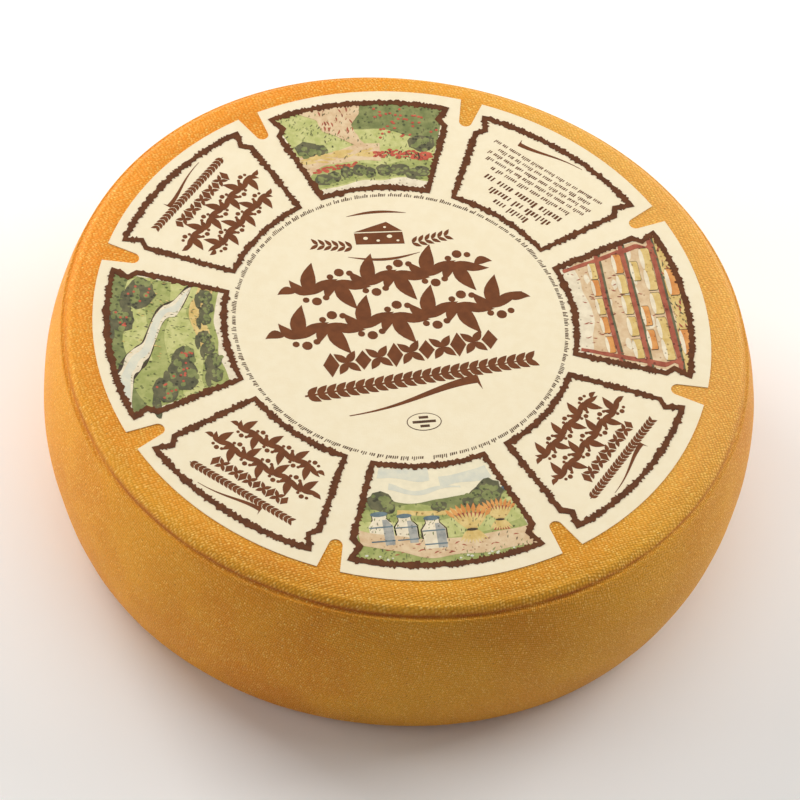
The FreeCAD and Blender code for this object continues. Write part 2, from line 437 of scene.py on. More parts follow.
@dataclass(frozen=True)
class RindFinish:
    """Waxy orange rind with the cloth's marks, a mould line and yellower lips. Painted light: the
    top turns more orange towards the left lamp and paler towards the right lamp. The raised nubs
    turn paler as a painted highlight, the hollows between them are darkened as painted shade, and
    painted shade makes the mould line darker at the front.
    """

    deep: Colour = srgb(218, 136, 34)
    golden: Colour = srgb(236, 162, 46)
    # Painted light: the top's tone on the side towards the left lamp.
    orange: Colour = srgb(246, 150, 44)
    # Painted light: the top's tone on the side towards the right lamp.
    pale: Colour = srgb(250, 194, 106)
    olive: Colour = srgb(226, 168, 48)
    # Painted highlight on the cloth's raised nubs.
    nub_highlight: Colour = srgb(252, 206, 108)
    # Brown of the mould line along the crease, which painted shade darkens at the front.
    mould: Colour = srgb(172, 90, 38)
    grime: Colour = srgb(160, 98, 40)

    def make(self) -> bpy.types.Material:
        """Build the rind's material.

        Returns:
            A material that reads the piece's cloth map and its line attributes.
        """
        material, nodes, shader = new_material("rind", 0.46, 0.15)
        place_in = nodes.add("TexCoord").outputs["Object"]
        cloth = nodes.add("UVMap", uv_map="cloth").outputs["UV"]
        weave = nodes.group("cloth imprint", {"Vector": cloth}).outputs
        mottle = nodes.group("mottle", {"Vector": place_in, "Cloud Scale": 26.0,
                                        "Speck Scale": 330.0, "Speck Amount": 0.12}).outputs
        colour = nodes.mix(mottle["Clouds"], self.deep, self.golden)
        broad = nodes.ramp(nodes.noise(place_in, 9.0, 2.0), 0.45, 0.75, 0.0, 0.5)
        colour = nodes.mix(broad, colour, self.olive)
        # Painted light: the top turns more orange towards the left lamp and paler towards the right
        # lamp; the front lip turns yellower.
        for name, share, tone in (("warm_side", 0.75, self.orange), ("faded_side", 0.5, self.pale),
                                  ("lip", 0.45, self.olive)):
            mask = nodes.maths("MULTIPLY", nodes.attribute(name), share)
            colour = nodes.mix(mask, colour, tone)
        # Painted shade: the hollows between the cloth's nubs are darkened.
        hollow_shade = nodes.ramp(weave["Nubs"], 0.0, 0.6, 0.82, 1.0)
        shade = nodes.add("CombineColor")
        for socket in shade.inputs:
            nodes.feed(socket, hollow_shade)
        colour = nodes.mix(1.0, colour, shade.outputs[0], "MULTIPLY")
        # Painted highlight: the raised nubs turn paler, more on the top face than on the wall, with
        # a few glints brighter still.
        even = nodes.maths("MULTIPLY", weave["Strength"],
                           nodes.ramp(nodes.attribute("side"), 0.0, 1.0, 0.62, 0.30))
        lit = nodes.maths("MULTIPLY_ADD", weave["Sparks"], 0.6, even)
        bright = nodes.maths("MULTIPLY", weave["Nubs"], lit, use_clamp=True)
        colour = nodes.mix(bright, colour, self.nub_highlight)
        colour = nodes.mix(nodes.maths("MULTIPLY", mottle["Specks"], 0.5), colour, self.grime)
        # Mould line along the crease: a brown mark, partly painted shade that is much darker at the
        # front.
        patchy = nodes.ramp(nodes.noise(place_in, 130.0), 0.25, 0.6, 0.45, 1.0)
        colour = nodes.mix(nodes.maths("MULTIPLY", nodes.attribute("mould"), patchy),
                           colour, self.mould)
        nodes.feed(shader.inputs["Base Color"], colour)
        nodes.feed(shader.inputs["Roughness"], nodes.ramp(weave["Height"], 0.0, 1.0, 0.58, 0.38))
        for name, value in (("Subsurface Weight", 0.12), ("Subsurface Scale", 1.0),
                            ("Subsurface Radius", (0.004, 0.002, 0.0007))):
            shader.inputs[name].default_value = value
        nodes.bump(shader, nodes.maths("MULTIPLY_ADD", mottle["Grain"], 0.25, weave["Height"]),
                   0.8, 0.22 * MM)
        return material


@dataclass(frozen=True)
class PaperFinish:
    """Matt cream paper that lets a little of the cloth's relief through."""

    cream: Colour = srgb(240, 228, 198)
    warm: Colour = srgb(234, 219, 184)

    def make(self) -> bpy.types.Material:
        """Build the paper's material.

        Returns:
            The material.
        """
        material, nodes, shader = new_material("label_paper", 0.72, 0.25)
        place_in = nodes.add("TexCoord").outputs["Object"]
        mottle = nodes.group("mottle", {"Vector": place_in, "Cloud Scale": 300.0,
                                        "Speck Scale": 900.0, "Speck Amount": 0.0}).outputs
        tone = nodes.maths("MULTIPLY", mottle["Clouds"], 0.5)
        nodes.feed(shader.inputs["Base Color"], nodes.mix(tone, self.cream, self.warm))
        weave = nodes.group("cloth imprint", {"Vector": place_in, "Jitter": 0.5}).outputs
        nodes.bump(shader, nodes.maths("MULTIPLY_ADD", weave["Height"], 0.35, mottle["Grain"]),
                   0.35, 0.05 * MM)
        return material


@dataclass(frozen=True)
class InkFinish:
    """Printed ink or wash: two tones clouded together, with grain and darker specks."""

    name: str
    light: Colour
    dark: Colour
    speck: Colour
    speck_amount: float = 0.0
    speck_scale: float = 620.0
    cloud_scale: float = 400.0

    def make(self) -> bpy.types.Material:
        """Build the ink's material.

        Returns:
            The material.
        """
        material, nodes, shader = new_material(self.name, 0.7, 0.25)
        place_in = nodes.add("TexCoord").outputs["Object"]
        mottle = nodes.group("mottle", {"Vector": place_in, "Cloud Scale": self.cloud_scale,
                                        "Speck Scale": self.speck_scale,
                                        "Speck Amount": self.speck_amount}).outputs
        colour = nodes.mix(mottle["Clouds"], self.light, self.dark)
        colour = nodes.mix(nodes.maths("MULTIPLY", mottle["Specks"], 0.75), colour, self.speck)
        nodes.feed(shader.inputs["Base Color"], colour)
        nodes.bump(shader, mottle["Grain"], 0.3, 0.04 * MM)
        return material


# ---------------------------------------------------------------- the wheel
@dataclass
class CheeseWheel:
    """The cheese: a spun section, pushed out of round and marked by the press.

    Depths are measured down from the top face. A wave is how many times it goes round the
    wheel, its height and the angle of its crest.
    """

    middle: Vector
    height: float
    wheel_radius: float = 96.3 * MM
    wall_bulge: float = 4.5 * MM
    bulge_drop: float = 27.7 * MM
    crease_drop: float = 2.5 * MM
    crease_width: float = 1.6 * MM
    crease_depth: float = 0.4 * MM
    welt_width: float = 3.0 * MM
    welt_rise: float = 0.35 * MM
    foot_round: float = 7.0 * MM
    flat_radius: float = 84.4 * MM
    foot_bare: float = 88.0 * MM
    turns: int = 720
    waves: tuple[tuple[int, float, float], ...] = (
        (2, 0.54 * MM, -30.5), (3, 0.34 * MM, 3.4), (4, 0.34 * MM, 47.1))
    welt_pull: float = 0.28 * MM
    fold_angle: float = -82.0
    fold_depth: float = 0.3 * MM
    # Angles round the wheel of the painted light: more orange towards the left lamp, paler towards
    # the right lamp.
    painted_light_left_angle: float = 160.0
    painted_light_right_angle: float = 25.0
    cloth_turn: float = -62.0
    wall_lean: float = 14.0
    wall_mesh: float = 1.12

    @property
    def crease_radius(self) -> float:
        """Radius of the crease at the top edge."""
        return self.wheel_radius - self.wall_bulge

    def wall_arc(self) -> tuple[float, float, float]:
        """Find the arc that the wall follows.

        Returns:
            The radius and the depth of its centre, and its own radius.
        """
        drop = self.bulge_drop - self.crease_drop
        arc = (drop ** 2 + self.wall_bulge ** 2) / (2 * self.wall_bulge)
        return self.wheel_radius - arc, self.bulge_drop, arc

    def foot_arc(self) -> tuple[float, float]:
        """Find the centre of the rounded foot.

        Returns:
            The centre's radius and depth.
        """
        middle, arc_depth, arc = self.wall_arc()
        depth = self.height - self.foot_round
        return middle + math.sqrt((arc - self.foot_round) ** 2 - (depth - arc_depth) ** 2), depth

    def section(self) -> list[Point]:
        """Half section from the middle of the top face, over the wall, to the underside.

        Returns:
            (radius, depth) points in metres, closest where the form turns.
        """
        points: list[Point] = [(0.0, 0.0)]
        points += [(radius, 0.0) for radius in np.linspace(18, 72, 7) * MM]
        points += [(radius, 0.0) for radius in np.linspace(73.5 * MM, self.flat_radius, 9)]
        end = self.crease_radius - self.crease_width / 2
        half_welt = self.welt_width / 2
        for share in np.linspace(0, 1, 17)[1:]:
            radius = self.flat_radius + (end - self.flat_radius) * share
            off_crest = min(1.0, abs(end - half_welt - radius) / half_welt)
            welt = self.welt_rise * math.cos(math.pi / 2 * off_crest) ** 2
            points.append((radius, self.crease_drop * share ** 2 - welt))
        middle, arc_depth, arc = self.wall_arc()
        foot, foot_depth = self.foot_arc()
        top = self.crease_drop + self.crease_width / 2
        start = math.asin((top - arc_depth) / arc)
        turn = math.atan2(foot_depth - arc_depth, foot - middle)
        wall = [(middle + arc * math.cos(a), arc_depth + arc * math.sin(a))
                for a in np.linspace(start, turn, 46)]
        inner = points[-1]
        run, fall = wall[0][0] - inner[0], wall[0][1] - inner[1]
        span = math.hypot(run, fall)
        for share in np.linspace(0, 1, 9)[1:-1]:
            dip = self.crease_depth * math.sin(math.pi * share)
            points.append((inner[0] + run * share - dip * fall / span,
                           inner[1] + fall * share + dip * run / span))
        points += wall
        for angle in np.linspace(turn, math.pi / 2, 13)[1:]:
            points.append((foot + self.foot_round * math.cos(angle),
                           foot_depth + self.foot_round * math.sin(angle)))
        points += [(radius, self.height) for radius in np.linspace(foot, 10 * MM, 12)[1:]]
        points.append((0.0, self.height))
        return points

    def out_of_round(self, angle: np.ndarray) -> np.ndarray:
        """Add up the waves that push the wheel out of round.

        Args:
            angle: angles round the wheel.

        Returns:
            What is added to the radius at each of them, in metres.
        """
        total = np.zeros_like(angle)
        for count, amount, crest in self.waves:
            total += amount * np.cos(count * (angle - math.radians(crest)))
        return total

    def build(self) -> bpy.types.Object:
        """Model the wheel by spinning its section and pressing it out of true.

        Returns:
            The finished piece, with its cloth map and line attributes.
        """
        section = self.section()
        deselect()
        bpy.ops.mesh.primitive_plane_add(size=2 * MM)
        wheel = bpy.context.object
        wheel.name = wheel.data.name = "cheese_rind"
        bpy.ops.object.mode_set(mode="EDIT")
        bpy.ops.mesh.select_all(action="SELECT")
        bpy.ops.mesh.merge(type="CENTER")
        for (radius, depth), (next_radius, next_depth) in zip(section, section[1:]):
            step = (next_radius - radius, 0.0, depth - next_depth)
            bpy.ops.mesh.extrude_region_move(TRANSFORM_OT_translate={"value": step})
        bpy.ops.mesh.select_all(action="SELECT")
        bpy.ops.mesh.spin(steps=self.turns, angle=2 * math.pi, center=(0, 0, 0),
                          axis=(0, 0, 1), use_auto_merge=True)
        bpy.ops.mesh.select_all(action="SELECT")
        bpy.ops.mesh.remove_doubles(threshold=0.01 * MM)
        face_outwards()
        bpy.ops.object.shade_smooth()
        self.shape(wheel.data, section)
        return wheel

    def shape(self, mesh: bpy.types.Mesh, section: list[Point]) -> None:
        """Press the spun mesh out of true and store its cloth map and attributes.

        Args:
            mesh: the spun mesh, its top face's middle at the origin.
            section: the half section it was spun from.
        """
        points = coordinates(mesh)
        radius = np.hypot(points[:, 0], points[:, 1])
        angle = np.arctan2(points[:, 0], -points[:, 1]) - math.pi / 2
        key = np.arctan2(points[:, 2] + self.height / 2, np.maximum(radius, 1e-9))
        line = np.array(section)
        line_key = np.arctan2(self.height / 2 - line[:, 1], np.maximum(line[:, 0], 1e-9))
        steps = np.hypot(*np.diff(line, axis=0).T)
        down_line = np.concatenate([[0.0], np.cumsum(steps)])
        down = np.interp(-key, -line_key, down_line)
        crease_at = down_line[np.argmin(np.abs(line[:, 0] - self.crease_radius)
                                        + np.abs(line[:, 1] - self.crease_drop))]
        normals = np.empty(len(mesh.vertices) * 3)
        mesh.vertices.foreach_get("normal", normals)
        past = down - crease_at
        round_place = np.column_stack([np.cos(angle), np.sin(angle), np.zeros_like(angle)])
        off_foot = smooth(0.0, 9 * MM, down_line[-1] - self.foot_bare - down)
        on_wall = smooth(0.5 * MM, 6 * MM, past) * off_foot
        outside = smooth(self.flat_radius - 1 * MM, self.flat_radius + 3 * MM, radius)
        top_edge = outside * smooth(1.5 * MM, -0.5 * MM, past)
        relief = np.zeros_like(radius)
        for amount, pitch, seed, where in ((0.35, 34, 1.0, on_wall), (0.12, 11, 2.0, on_wall),
                                           (0.22, 16, 3.0, top_edge)):
            relief += where * amount * MM * rough(points, pitch * MM, seed)
        pull = np.clip(0.5 + 1.4 * rough(round_place, 0.55, 4.0), 0.0, 1.6)
        welt_off = np.abs(past + 2.6 * MM) / (1.5 * MM)
        relief += pull * self.welt_pull * np.exp(-welt_off ** 2) * top_edge
        fold_off = np.radians(np.degrees(angle) - self.fold_angle) * self.wheel_radius
        fold = np.exp(-(fold_off / (0.9 * MM)) ** 2) * smooth(22 * MM, 30 * MM, past)
        relief -= self.fold_depth * fold * smooth(54 * MM, 46 * MM, past)
        points += normals.reshape(-1, 3) * relief[:, None]
        out = self.out_of_round(angle) * smooth(40 * MM, self.flat_radius, radius)
        points += round_place * out[:, None]
        points += np.array(self.middle)
        place(mesh, points)
        self.store_masks(mesh, angle, past, round_place)
        self.map_cloth(mesh, down, angle, past)

    def store_masks(self, mesh: bpy.types.Mesh, angle: np.ndarray, past: np.ndarray,
                    round_place: np.ndarray) -> None:
        """Store where the rind's mould line and its front lip are, and the painted light on its
        top: more orange towards the left lamp and paler towards the right lamp.

        Args:
            mesh: the wheel's mesh, in place.
            angle: angle round the wheel for each vertex.
            past: distance down the section past the crease for each vertex.
            round_place: the same angles as places on a circle of radius 1.
        """
        waver = 0.35 * MM * rough(round_place, 0.3, 5.0) + 0.2 * MM * rough(round_place, 0.08, 6.0)
        width = (0.58 + 0.3 * rough(round_place, 0.25, 7.0)) * MM
        front = smooth(0.2, -0.75, np.sin(angle))
        side = smooth(0.0, 3 * MM, past)
        lip = smooth(-7 * MM, -1 * MM, past) * smooth(0.4 * MM, -0.6 * MM, past)
        # Painted light: the top is more orange towards the left lamp and paler towards the right
        # lamp, less so at the front and on the wall.
        warm = smooth(-0.2, 0.9, np.cos(angle - math.radians(self.painted_light_left_angle)))
        lit_right = smooth(0.2, 1.0, np.cos(angle - math.radians(self.painted_light_right_angle)))
        # Partly painted shade: the mould line is much darker at the front, away from the lamps.
        mould = np.exp(-((past - waver) / width) ** 2) * (0.22 + 0.6 * front)
        for name, values in (("mould", mould), ("side", side), ("lip", lip * front),
                             ("warm_side", warm * (1 - 0.6 * front) * (1 - 0.75 * side)),
                             ("faded_side", lit_right * (1 - 0.8 * side))):
            set_attribute(mesh, name, values)

    def map_cloth(self, mesh: bpy.types.Mesh, down: np.ndarray, angle: np.ndarray,
                  past: np.ndarray) -> None:
        """Lay the press cloth over the wheel: flat on both faces, wrapped round the wall.

        Args:
            mesh: the wheel's mesh, in place.
            down: distance down the section for each vertex.
            angle: angle round the wheel for each vertex.
            past: distance down the section past the crease for each vertex.
        """
        layer = mesh.uv_layers.new(name="cloth")
        vertex = np.empty(len(mesh.loops), dtype=np.int64)
        mesh.loops.foreach_get("vertex_index", vertex)
        face_of = np.repeat(np.arange(len(mesh.polygons)),
                            [polygon.loop_total for polygon in mesh.polygons])
        start = np.array([polygon.loop_start for polygon in mesh.polygons])
        first = angle[vertex[start]][face_of]
        here = first + (angle[vertex] - first + math.pi) % (2 * math.pi) - math.pi
        points = coordinates(mesh)[vertex]
        flat = turned(points[:, 0], points[:, 1], self.cloth_turn)
        wall = turned(here * self.wheel_radius * self.wall_mesh, down[vertex] * self.wall_mesh,
                      self.wall_lean)
        middle_past = np.add.reduceat(past[vertex], start) / np.bincount(face_of)
        on_wall = (middle_past > 0)[face_of]
        cloth = np.where(on_wall[:, None], wall + (0.0, 0.5), flat)
        layer.data.foreach_set("uv", cloth.ravel())


# ---------------------------------------------------------------- the label
@dataclass
class Label:
    """Where the label lies and how large it is."""

    middle: Vector
    radius: float
    first_panel: float = 285.6
    band: float = 0.0165

    def point(self, reach: float, degrees: float) -> Point:
        """Place at this share of the radius and this angle, in metres."""
        turn = math.radians(degrees)
        return self.place(reach * math.cos(turn), reach * math.sin(turn))

    def place(self, x: float, y: float) -> Point:
        """Turn a place in label radii from the label's middle into metres."""
        return self.middle.x + self.radius * x, self.middle.y + self.radius * y


def ring_slab(name: str, outer: Outline, inner: Outline, base: float,
              thickness: float) -> bpy.types.Object:
    """Model a flat closed band between two outlines with as many points.

    Args:
        name: the piece's name.
        outer, inner: closed outlines in metres, point by point beside each other.
        base: height of the underside.
        thickness: height of the band.

    Returns:
        The new piece.
    """
    deselect()
    bpy.ops.mesh.primitive_circle_add(vertices=len(outer), radius=1.0, enter_editmode=True)
    bpy.ops.mesh.primitive_circle_add(vertices=len(inner), radius=0.5)
    bpy.ops.mesh.select_all(action="SELECT")
    bpy.ops.mesh.bridge_edge_loops()
    piece = lay(name, [(x, y, base) for x, y in outer + inner])
    bpy.ops.mesh.extrude_region_move(TRANSFORM_OT_translate={"value": (0, 0, thickness)})
    face_outwards()
    return piece


@dataclass
class PanelFrame:
    """Ragged brown frame round one of the eight panels.

    Its sizes are in label radii. The right-hand corners run from the outer to the inner edge,
    with y pointing out of the label.
    """

    label: Label
    panel: float
    seed: int
    step: float = 0.0050
    teeth: float = 0.0095
    clear: float = 0.013
    swell: float = 0.0016
    miter: float = 1.3
    height: float = 0.15 * MM
    corners: tuple[Point, ...] = ((0.300, 0.897), (0.265, 0.853), (0.282, 0.822),
                                  (0.177, 0.543))

    def side(self, length: float, at: Callable[[float], Point]) -> Outline:
        """Spread points over one side, clear of the corners at its ends.

        Args:
            length: the side's length.
            at: turns a share of the side into a place.

        Returns:
            The side's first corner and the points after it.
        """
        clear = self.clear / length
        count = max(1, round((length - 2 * self.clear) / self.step))
        shares = [clear + (1 - 2 * clear) * index / count for index in range(count + 1)]
        return [at(share) for share in [0.0] + shares]

    def straight(self, first: Point, second: Point) -> Outline:
        """Points on a straight side.

        Args:
            first, second: its two corners.

        Returns:
            The points, without the second corner.
        """
        return self.side(math.dist(first, second),
                         lambda share: (first[0] + (second[0] - first[0]) * share,
                                        first[1] + (second[1] - first[1]) * share))

    def arc(self, corner: Point) -> Outline:
        """Points on an arc round the label's middle, from a corner to its mirror image.

        Args:
            corner: where it starts.

        Returns:
            The points.
        """
        reach = math.hypot(*corner)
        turn = math.atan2(corner[1], corner[0])
        span = math.pi - 2 * turn
        return self.side(abs(span) * reach,
                         lambda share: (reach * math.cos(turn + span * share),
                                        reach * math.sin(turn + span * share)))

    def line(self) -> Outline:
        """Points round the band's middle line, as if the panel lay to the top of the label.

        Returns:
            The points, in label radii.
        """
        right = list(self.corners)
        left = [(-x, y) for x, y in right]
        outline = self.arc(right[0])
        for first, second in zip(left, left[1:]):
            outline += self.straight(first, second)
        outline += self.arc(left[-1])
        for first, second in zip(right[::-1], right[-2::-1]):
            outline += self.straight(first, second)
        return outline

    def edges(self) -> tuple[Outline, Outline]:
        """Outer and inner edge of the band, each with its own ragged teeth.

        Returns:
            Two outlines in metres with as many points.
        """
        dice = random.Random(self.seed)
        line = self.line()
        count = len(line)
        turn = math.radians(self.panel - 90.0)
        outer: Outline = []
        inner: Outline = []
        swells = [dice.uniform(-1, 1) for _ in range(count // 6 + 2)]
        bends = [math.dist(line[i - 1], line[i]) + math.dist(line[i], line[(i + 1) % count])
                 - math.dist(line[i - 1], line[(i + 1) % count]) > 1e-4 for i in range(count)]
        for index, (x, y) in enumerate(line):
            before = line[index - 1]
            after = line[(index + 1) % count]
            run = (after[0] - before[0], after[1] - before[1])
            length = math.hypot(*run)
            out = (run[1] / length, -run[0] / length)
            at = index / 6
            low = int(at)
            wave = swells[low] + (swells[(low + 1) % len(swells)] - swells[low]) * (at - low)
            half = self.label.band / 2 + self.swell * wave
            beside = bends[index - 1] or bends[(index + 1) % count]
            free = 0.0 if bends[index] else 0.25 if beside else 1.0
            for side, edge in ((1, outer), (-1, inner)):
                tooth = free * self.teeth * (dice.random() ** 1.7 - 0.12)
                reach = side * (half * (self.miter if bends[index] else 1.0) + tooth)
                slide = free * dice.uniform(-0.4, 0.4) * self.step
                px = x + out[0] * reach + run[0] / length * slide
                py = y + out[1] * reach + run[1] / length * slide
                edge.append(self.label.place(px * math.cos(turn) - py * math.sin(turn),
                                             px * math.sin(turn) + py * math.cos(turn)))
        return outer, inner

    def build(self, name: str) -> bpy.types.Object:
        """Model the frame as a thin band on the paper."""
        outer, inner = self.edges()
        return ring_slab(name, outer, inner, self.label.middle.z, self.height)


# ---------------------------------------------------------------- the print
class Ink(Enum):
    """Inks and washes of the label's print."""

    FRAME = InkFinish("frame_brown", srgb(104, 58, 26), srgb(86, 46, 18), srgb(62, 32, 12))
    BROWN = InkFinish("ornament_brown", srgb(118, 66, 32), srgb(104, 57, 26), srgb(82, 44, 18))
    FINE = InkFinish("small_print_brown", srgb(96, 68, 46), srgb(76, 52, 36), srgb(60, 40, 28))
    PAPER = InkFinish("bare_paper", srgb(240, 228, 198), srgb(237, 224, 191), srgb(230, 214, 180))
    SKY = InkFinish("sky_wash", srgb(240, 229, 198), srgb(230, 220, 190), srgb(216, 208, 182))
    CLOUD = InkFinish("cloud_wash", srgb(222, 218, 196), srgb(208, 208, 192), srgb(190, 194, 182))
    SPRING = InkFinish("spring_green", srgb(204, 202, 138), srgb(176, 180, 108),
                       srgb(122, 128, 74), 0.22)
    MEADOW = InkFinish("meadow_green", srgb(176, 178, 112), srgb(148, 156, 88),
                       srgb(92, 100, 56), 0.26)
    LEAF = InkFinish("leaf_green", srgb(142, 146, 92), srgb(112, 120, 72), srgb(66, 72, 46), 0.3)
    SHADE = InkFinish("shade_green", srgb(112, 108, 78), srgb(84, 84, 62), srgb(52, 50, 38), 0.3)
    STRAW = InkFinish("straw_wash", srgb(224, 198, 134), srgb(204, 172, 100),
                      srgb(146, 112, 62), 0.24)
    PATH = InkFinish("path_wash", srgb(224, 200, 162), srgb(208, 176, 136),
                     srgb(166, 122, 88), 0.2)
    STONE = InkFinish("stone_wash", srgb(238, 226, 198), srgb(220, 206, 178),
                      srgb(156, 142, 118), 0.2)
    GREY = InkFinish("churn_grey", srgb(178, 176, 166), srgb(140, 142, 138), srgb(96, 98, 94), 0.2)
    BLUE = InkFinish("dusk_blue", srgb(114, 132, 138), srgb(88, 106, 114), srgb(60, 74, 80), 0.2)
    RED = InkFinish("poppy_red", srgb(200, 98, 76), srgb(176, 78, 60), srgb(124, 52, 42), 0.25)
    PLANK = InkFinish("plank_red", srgb(178, 100, 76), srgb(148, 76, 56), srgb(98, 48, 36), 0.3)
    ORANGE = InkFinish("orange_wash", srgb(222, 160, 92), srgb(204, 132, 68),
                       srgb(152, 90, 48), 0.2)
    OUTLINE = InkFinish("drawn_line", srgb(84, 70, 52), srgb(62, 52, 40), srgb(44, 36, 28))


INK_MATERIALS: dict[Ink, bpy.types.Material] = {}


@dataclass(frozen=True)
class Spot:
    """A turned and scaled place on the label, with an x and y of its own to draw in."""

    label: Label
    x: float
    y: float
    turn: float
    scale: float = 1.0

    def plan(self, along: float, up: float) -> Point:
        """Find a drawn point on the label.

        Args:
            along, up: the point as it is drawn here.

        Returns:
            Its x and y in label radii from the label's middle.
        """
        turn = math.radians(self.turn)
        return (self.x + self.scale * (along * math.cos(turn) - up * math.sin(turn)),
                self.y + self.scale * (along * math.sin(turn) + up * math.cos(turn)))

    def inner(self, along: float, up: float, turn: float = 0.0, scale: float = 1.0) -> "Spot":
        """Place within this one, turned and scaled further."""
        x, y = self.plan(along, up)
        return Spot(self.label, x, y, self.turn + turn, self.scale * scale)

    def draw(self, points: Outline) -> Outline:
        """Turn drawn points into places on the label, in metres."""
        return [self.label.place(*self.plan(along, up)) for along, up in points]


def oval(width: float, height: float, count: int = 12) -> Outline:
    """Outline of an oval about the origin."""
    steps = [2 * math.pi * index / count for index in range(count)]
    return [(width / 2 * math.cos(step), height / 2 * math.sin(step)) for step in steps]


def leaf(length: float, width: float, bend: float = 0.0, count: int = 7) -> Outline:
    """Outline of a pointed leaf that starts at the origin and runs along x.

    Args:
        length, width: the leaf's size.
        bend: how far its middle is lifted off the straight line.
        count: points on each side.

    Returns:
        The outline's points.
    """
    shares = [index / count for index in range(count + 1)]
    upper = [(length * s, width / 2 * math.sin(math.pi * s ** 0.8) + bend * 4 * s * (1 - s))
             for s in shares]
    lower = [(length * s, -width / 2 * math.sin(math.pi * s ** 0.8) + bend * 4 * s * (1 - s))
             for s in shares[1:-1]]
    return upper + lower[::-1]


def bar(width: float, height: float, foot: float) -> Outline:
    """Outline of an upright rectangle that stands on this height, centred along."""
    return [(-width / 2, foot), (width / 2, foot), (width / 2, foot + height),
            (-width / 2, foot + height)]


def stroke(spine: Outline, widths: list[float]) -> Outline:
    """Outline of a brush stroke along a spine.

    Args:
        spine: points along the middle of the stroke.
        widths: the stroke's width at each of them.

    Returns:
        The outline's points.
    """
    left, right = [], []
    for index, (x, y) in enumerate(spine):
        before = spine[max(index - 1, 0)]
        after = spine[min(index + 1, len(spine) - 1)]
        run = math.dist(before, after)
        across = (-(after[1] - before[1]) / run, (after[0] - before[0]) / run)
        half = widths[index] / 2
        left.append((x + across[0] * half, y + across[1] * half))
        right.append((x - across[0] * half, y - across[1] * half))
    return left + right[::-1]


def blob(width: float, height: float, dice: random.Random, count: int = 14,
         uneven: float = 0.18) -> Outline:
    """Outline of an uneven round patch about the origin.

    Args:
        width, height: its size.
        dice: the numbers that make it uneven.
        count: how many points it has.
        uneven: how far a point strays from the oval, as a share.

    Returns:
        The outline's points.
    """
    points = []
    for x, y in oval(width, height, count):
        reach = 1 + dice.uniform(-uneven, uneven)
        points.append((x * reach, y * reach))
    return points


@dataclass
class PrintSheet:
    """Flat inked shapes, gathered by ink and then modelled as one thin piece for each ink."""

    label: Label
    name: str
    layer_step: float = 0.014 * MM
    first_layer: float = 0.02 * MM
    shapes: dict[Ink, list[tuple[float, Outline]]] = field(default_factory=dict)
    count: int = 0

    def add(self, ink: Ink, layer: int, outline: Outline) -> None:
        """Add a shape, its outline in metres on the label, a hair above the one before it."""
        self.shapes.setdefault(ink, []).append((layer + self.count % 61 / 64, outline))
        self.count += 1

    def build(self) -> list[bpy.types.Object]:
        """Model every ink's shapes as closed slabs, higher layers a little thicker.

        Returns:
            One piece for each ink.
        """
        pieces = []
        for ink, shapes in self.shapes.items():
            deselect()
            for index, (_, outline) in enumerate(shapes):
                bpy.ops.mesh.primitive_cylinder_add(
                    vertices=len(outline), radius=1.0, depth=1.0, end_fill_type="NGON",
                    enter_editmode=index == 0, calc_uvs=False)
            points = []
            for level, outline in shapes:
                rise = self.first_layer + self.layer_step * level
                for x, y in outline:
                    points.append((x, y, self.label.middle.z))
                    points.append((x, y, self.label.middle.z + rise))
            piece = lay("%s_%s" % (self.name, ink.name.lower()), points)
            face_outwards()
            piece.data.materials.append(INK_MATERIALS[ink])
            ride(piece)
            pieces.append(piece)
            LOG.info("%s: %d shapes", piece.name, len(shapes))
        return pieces


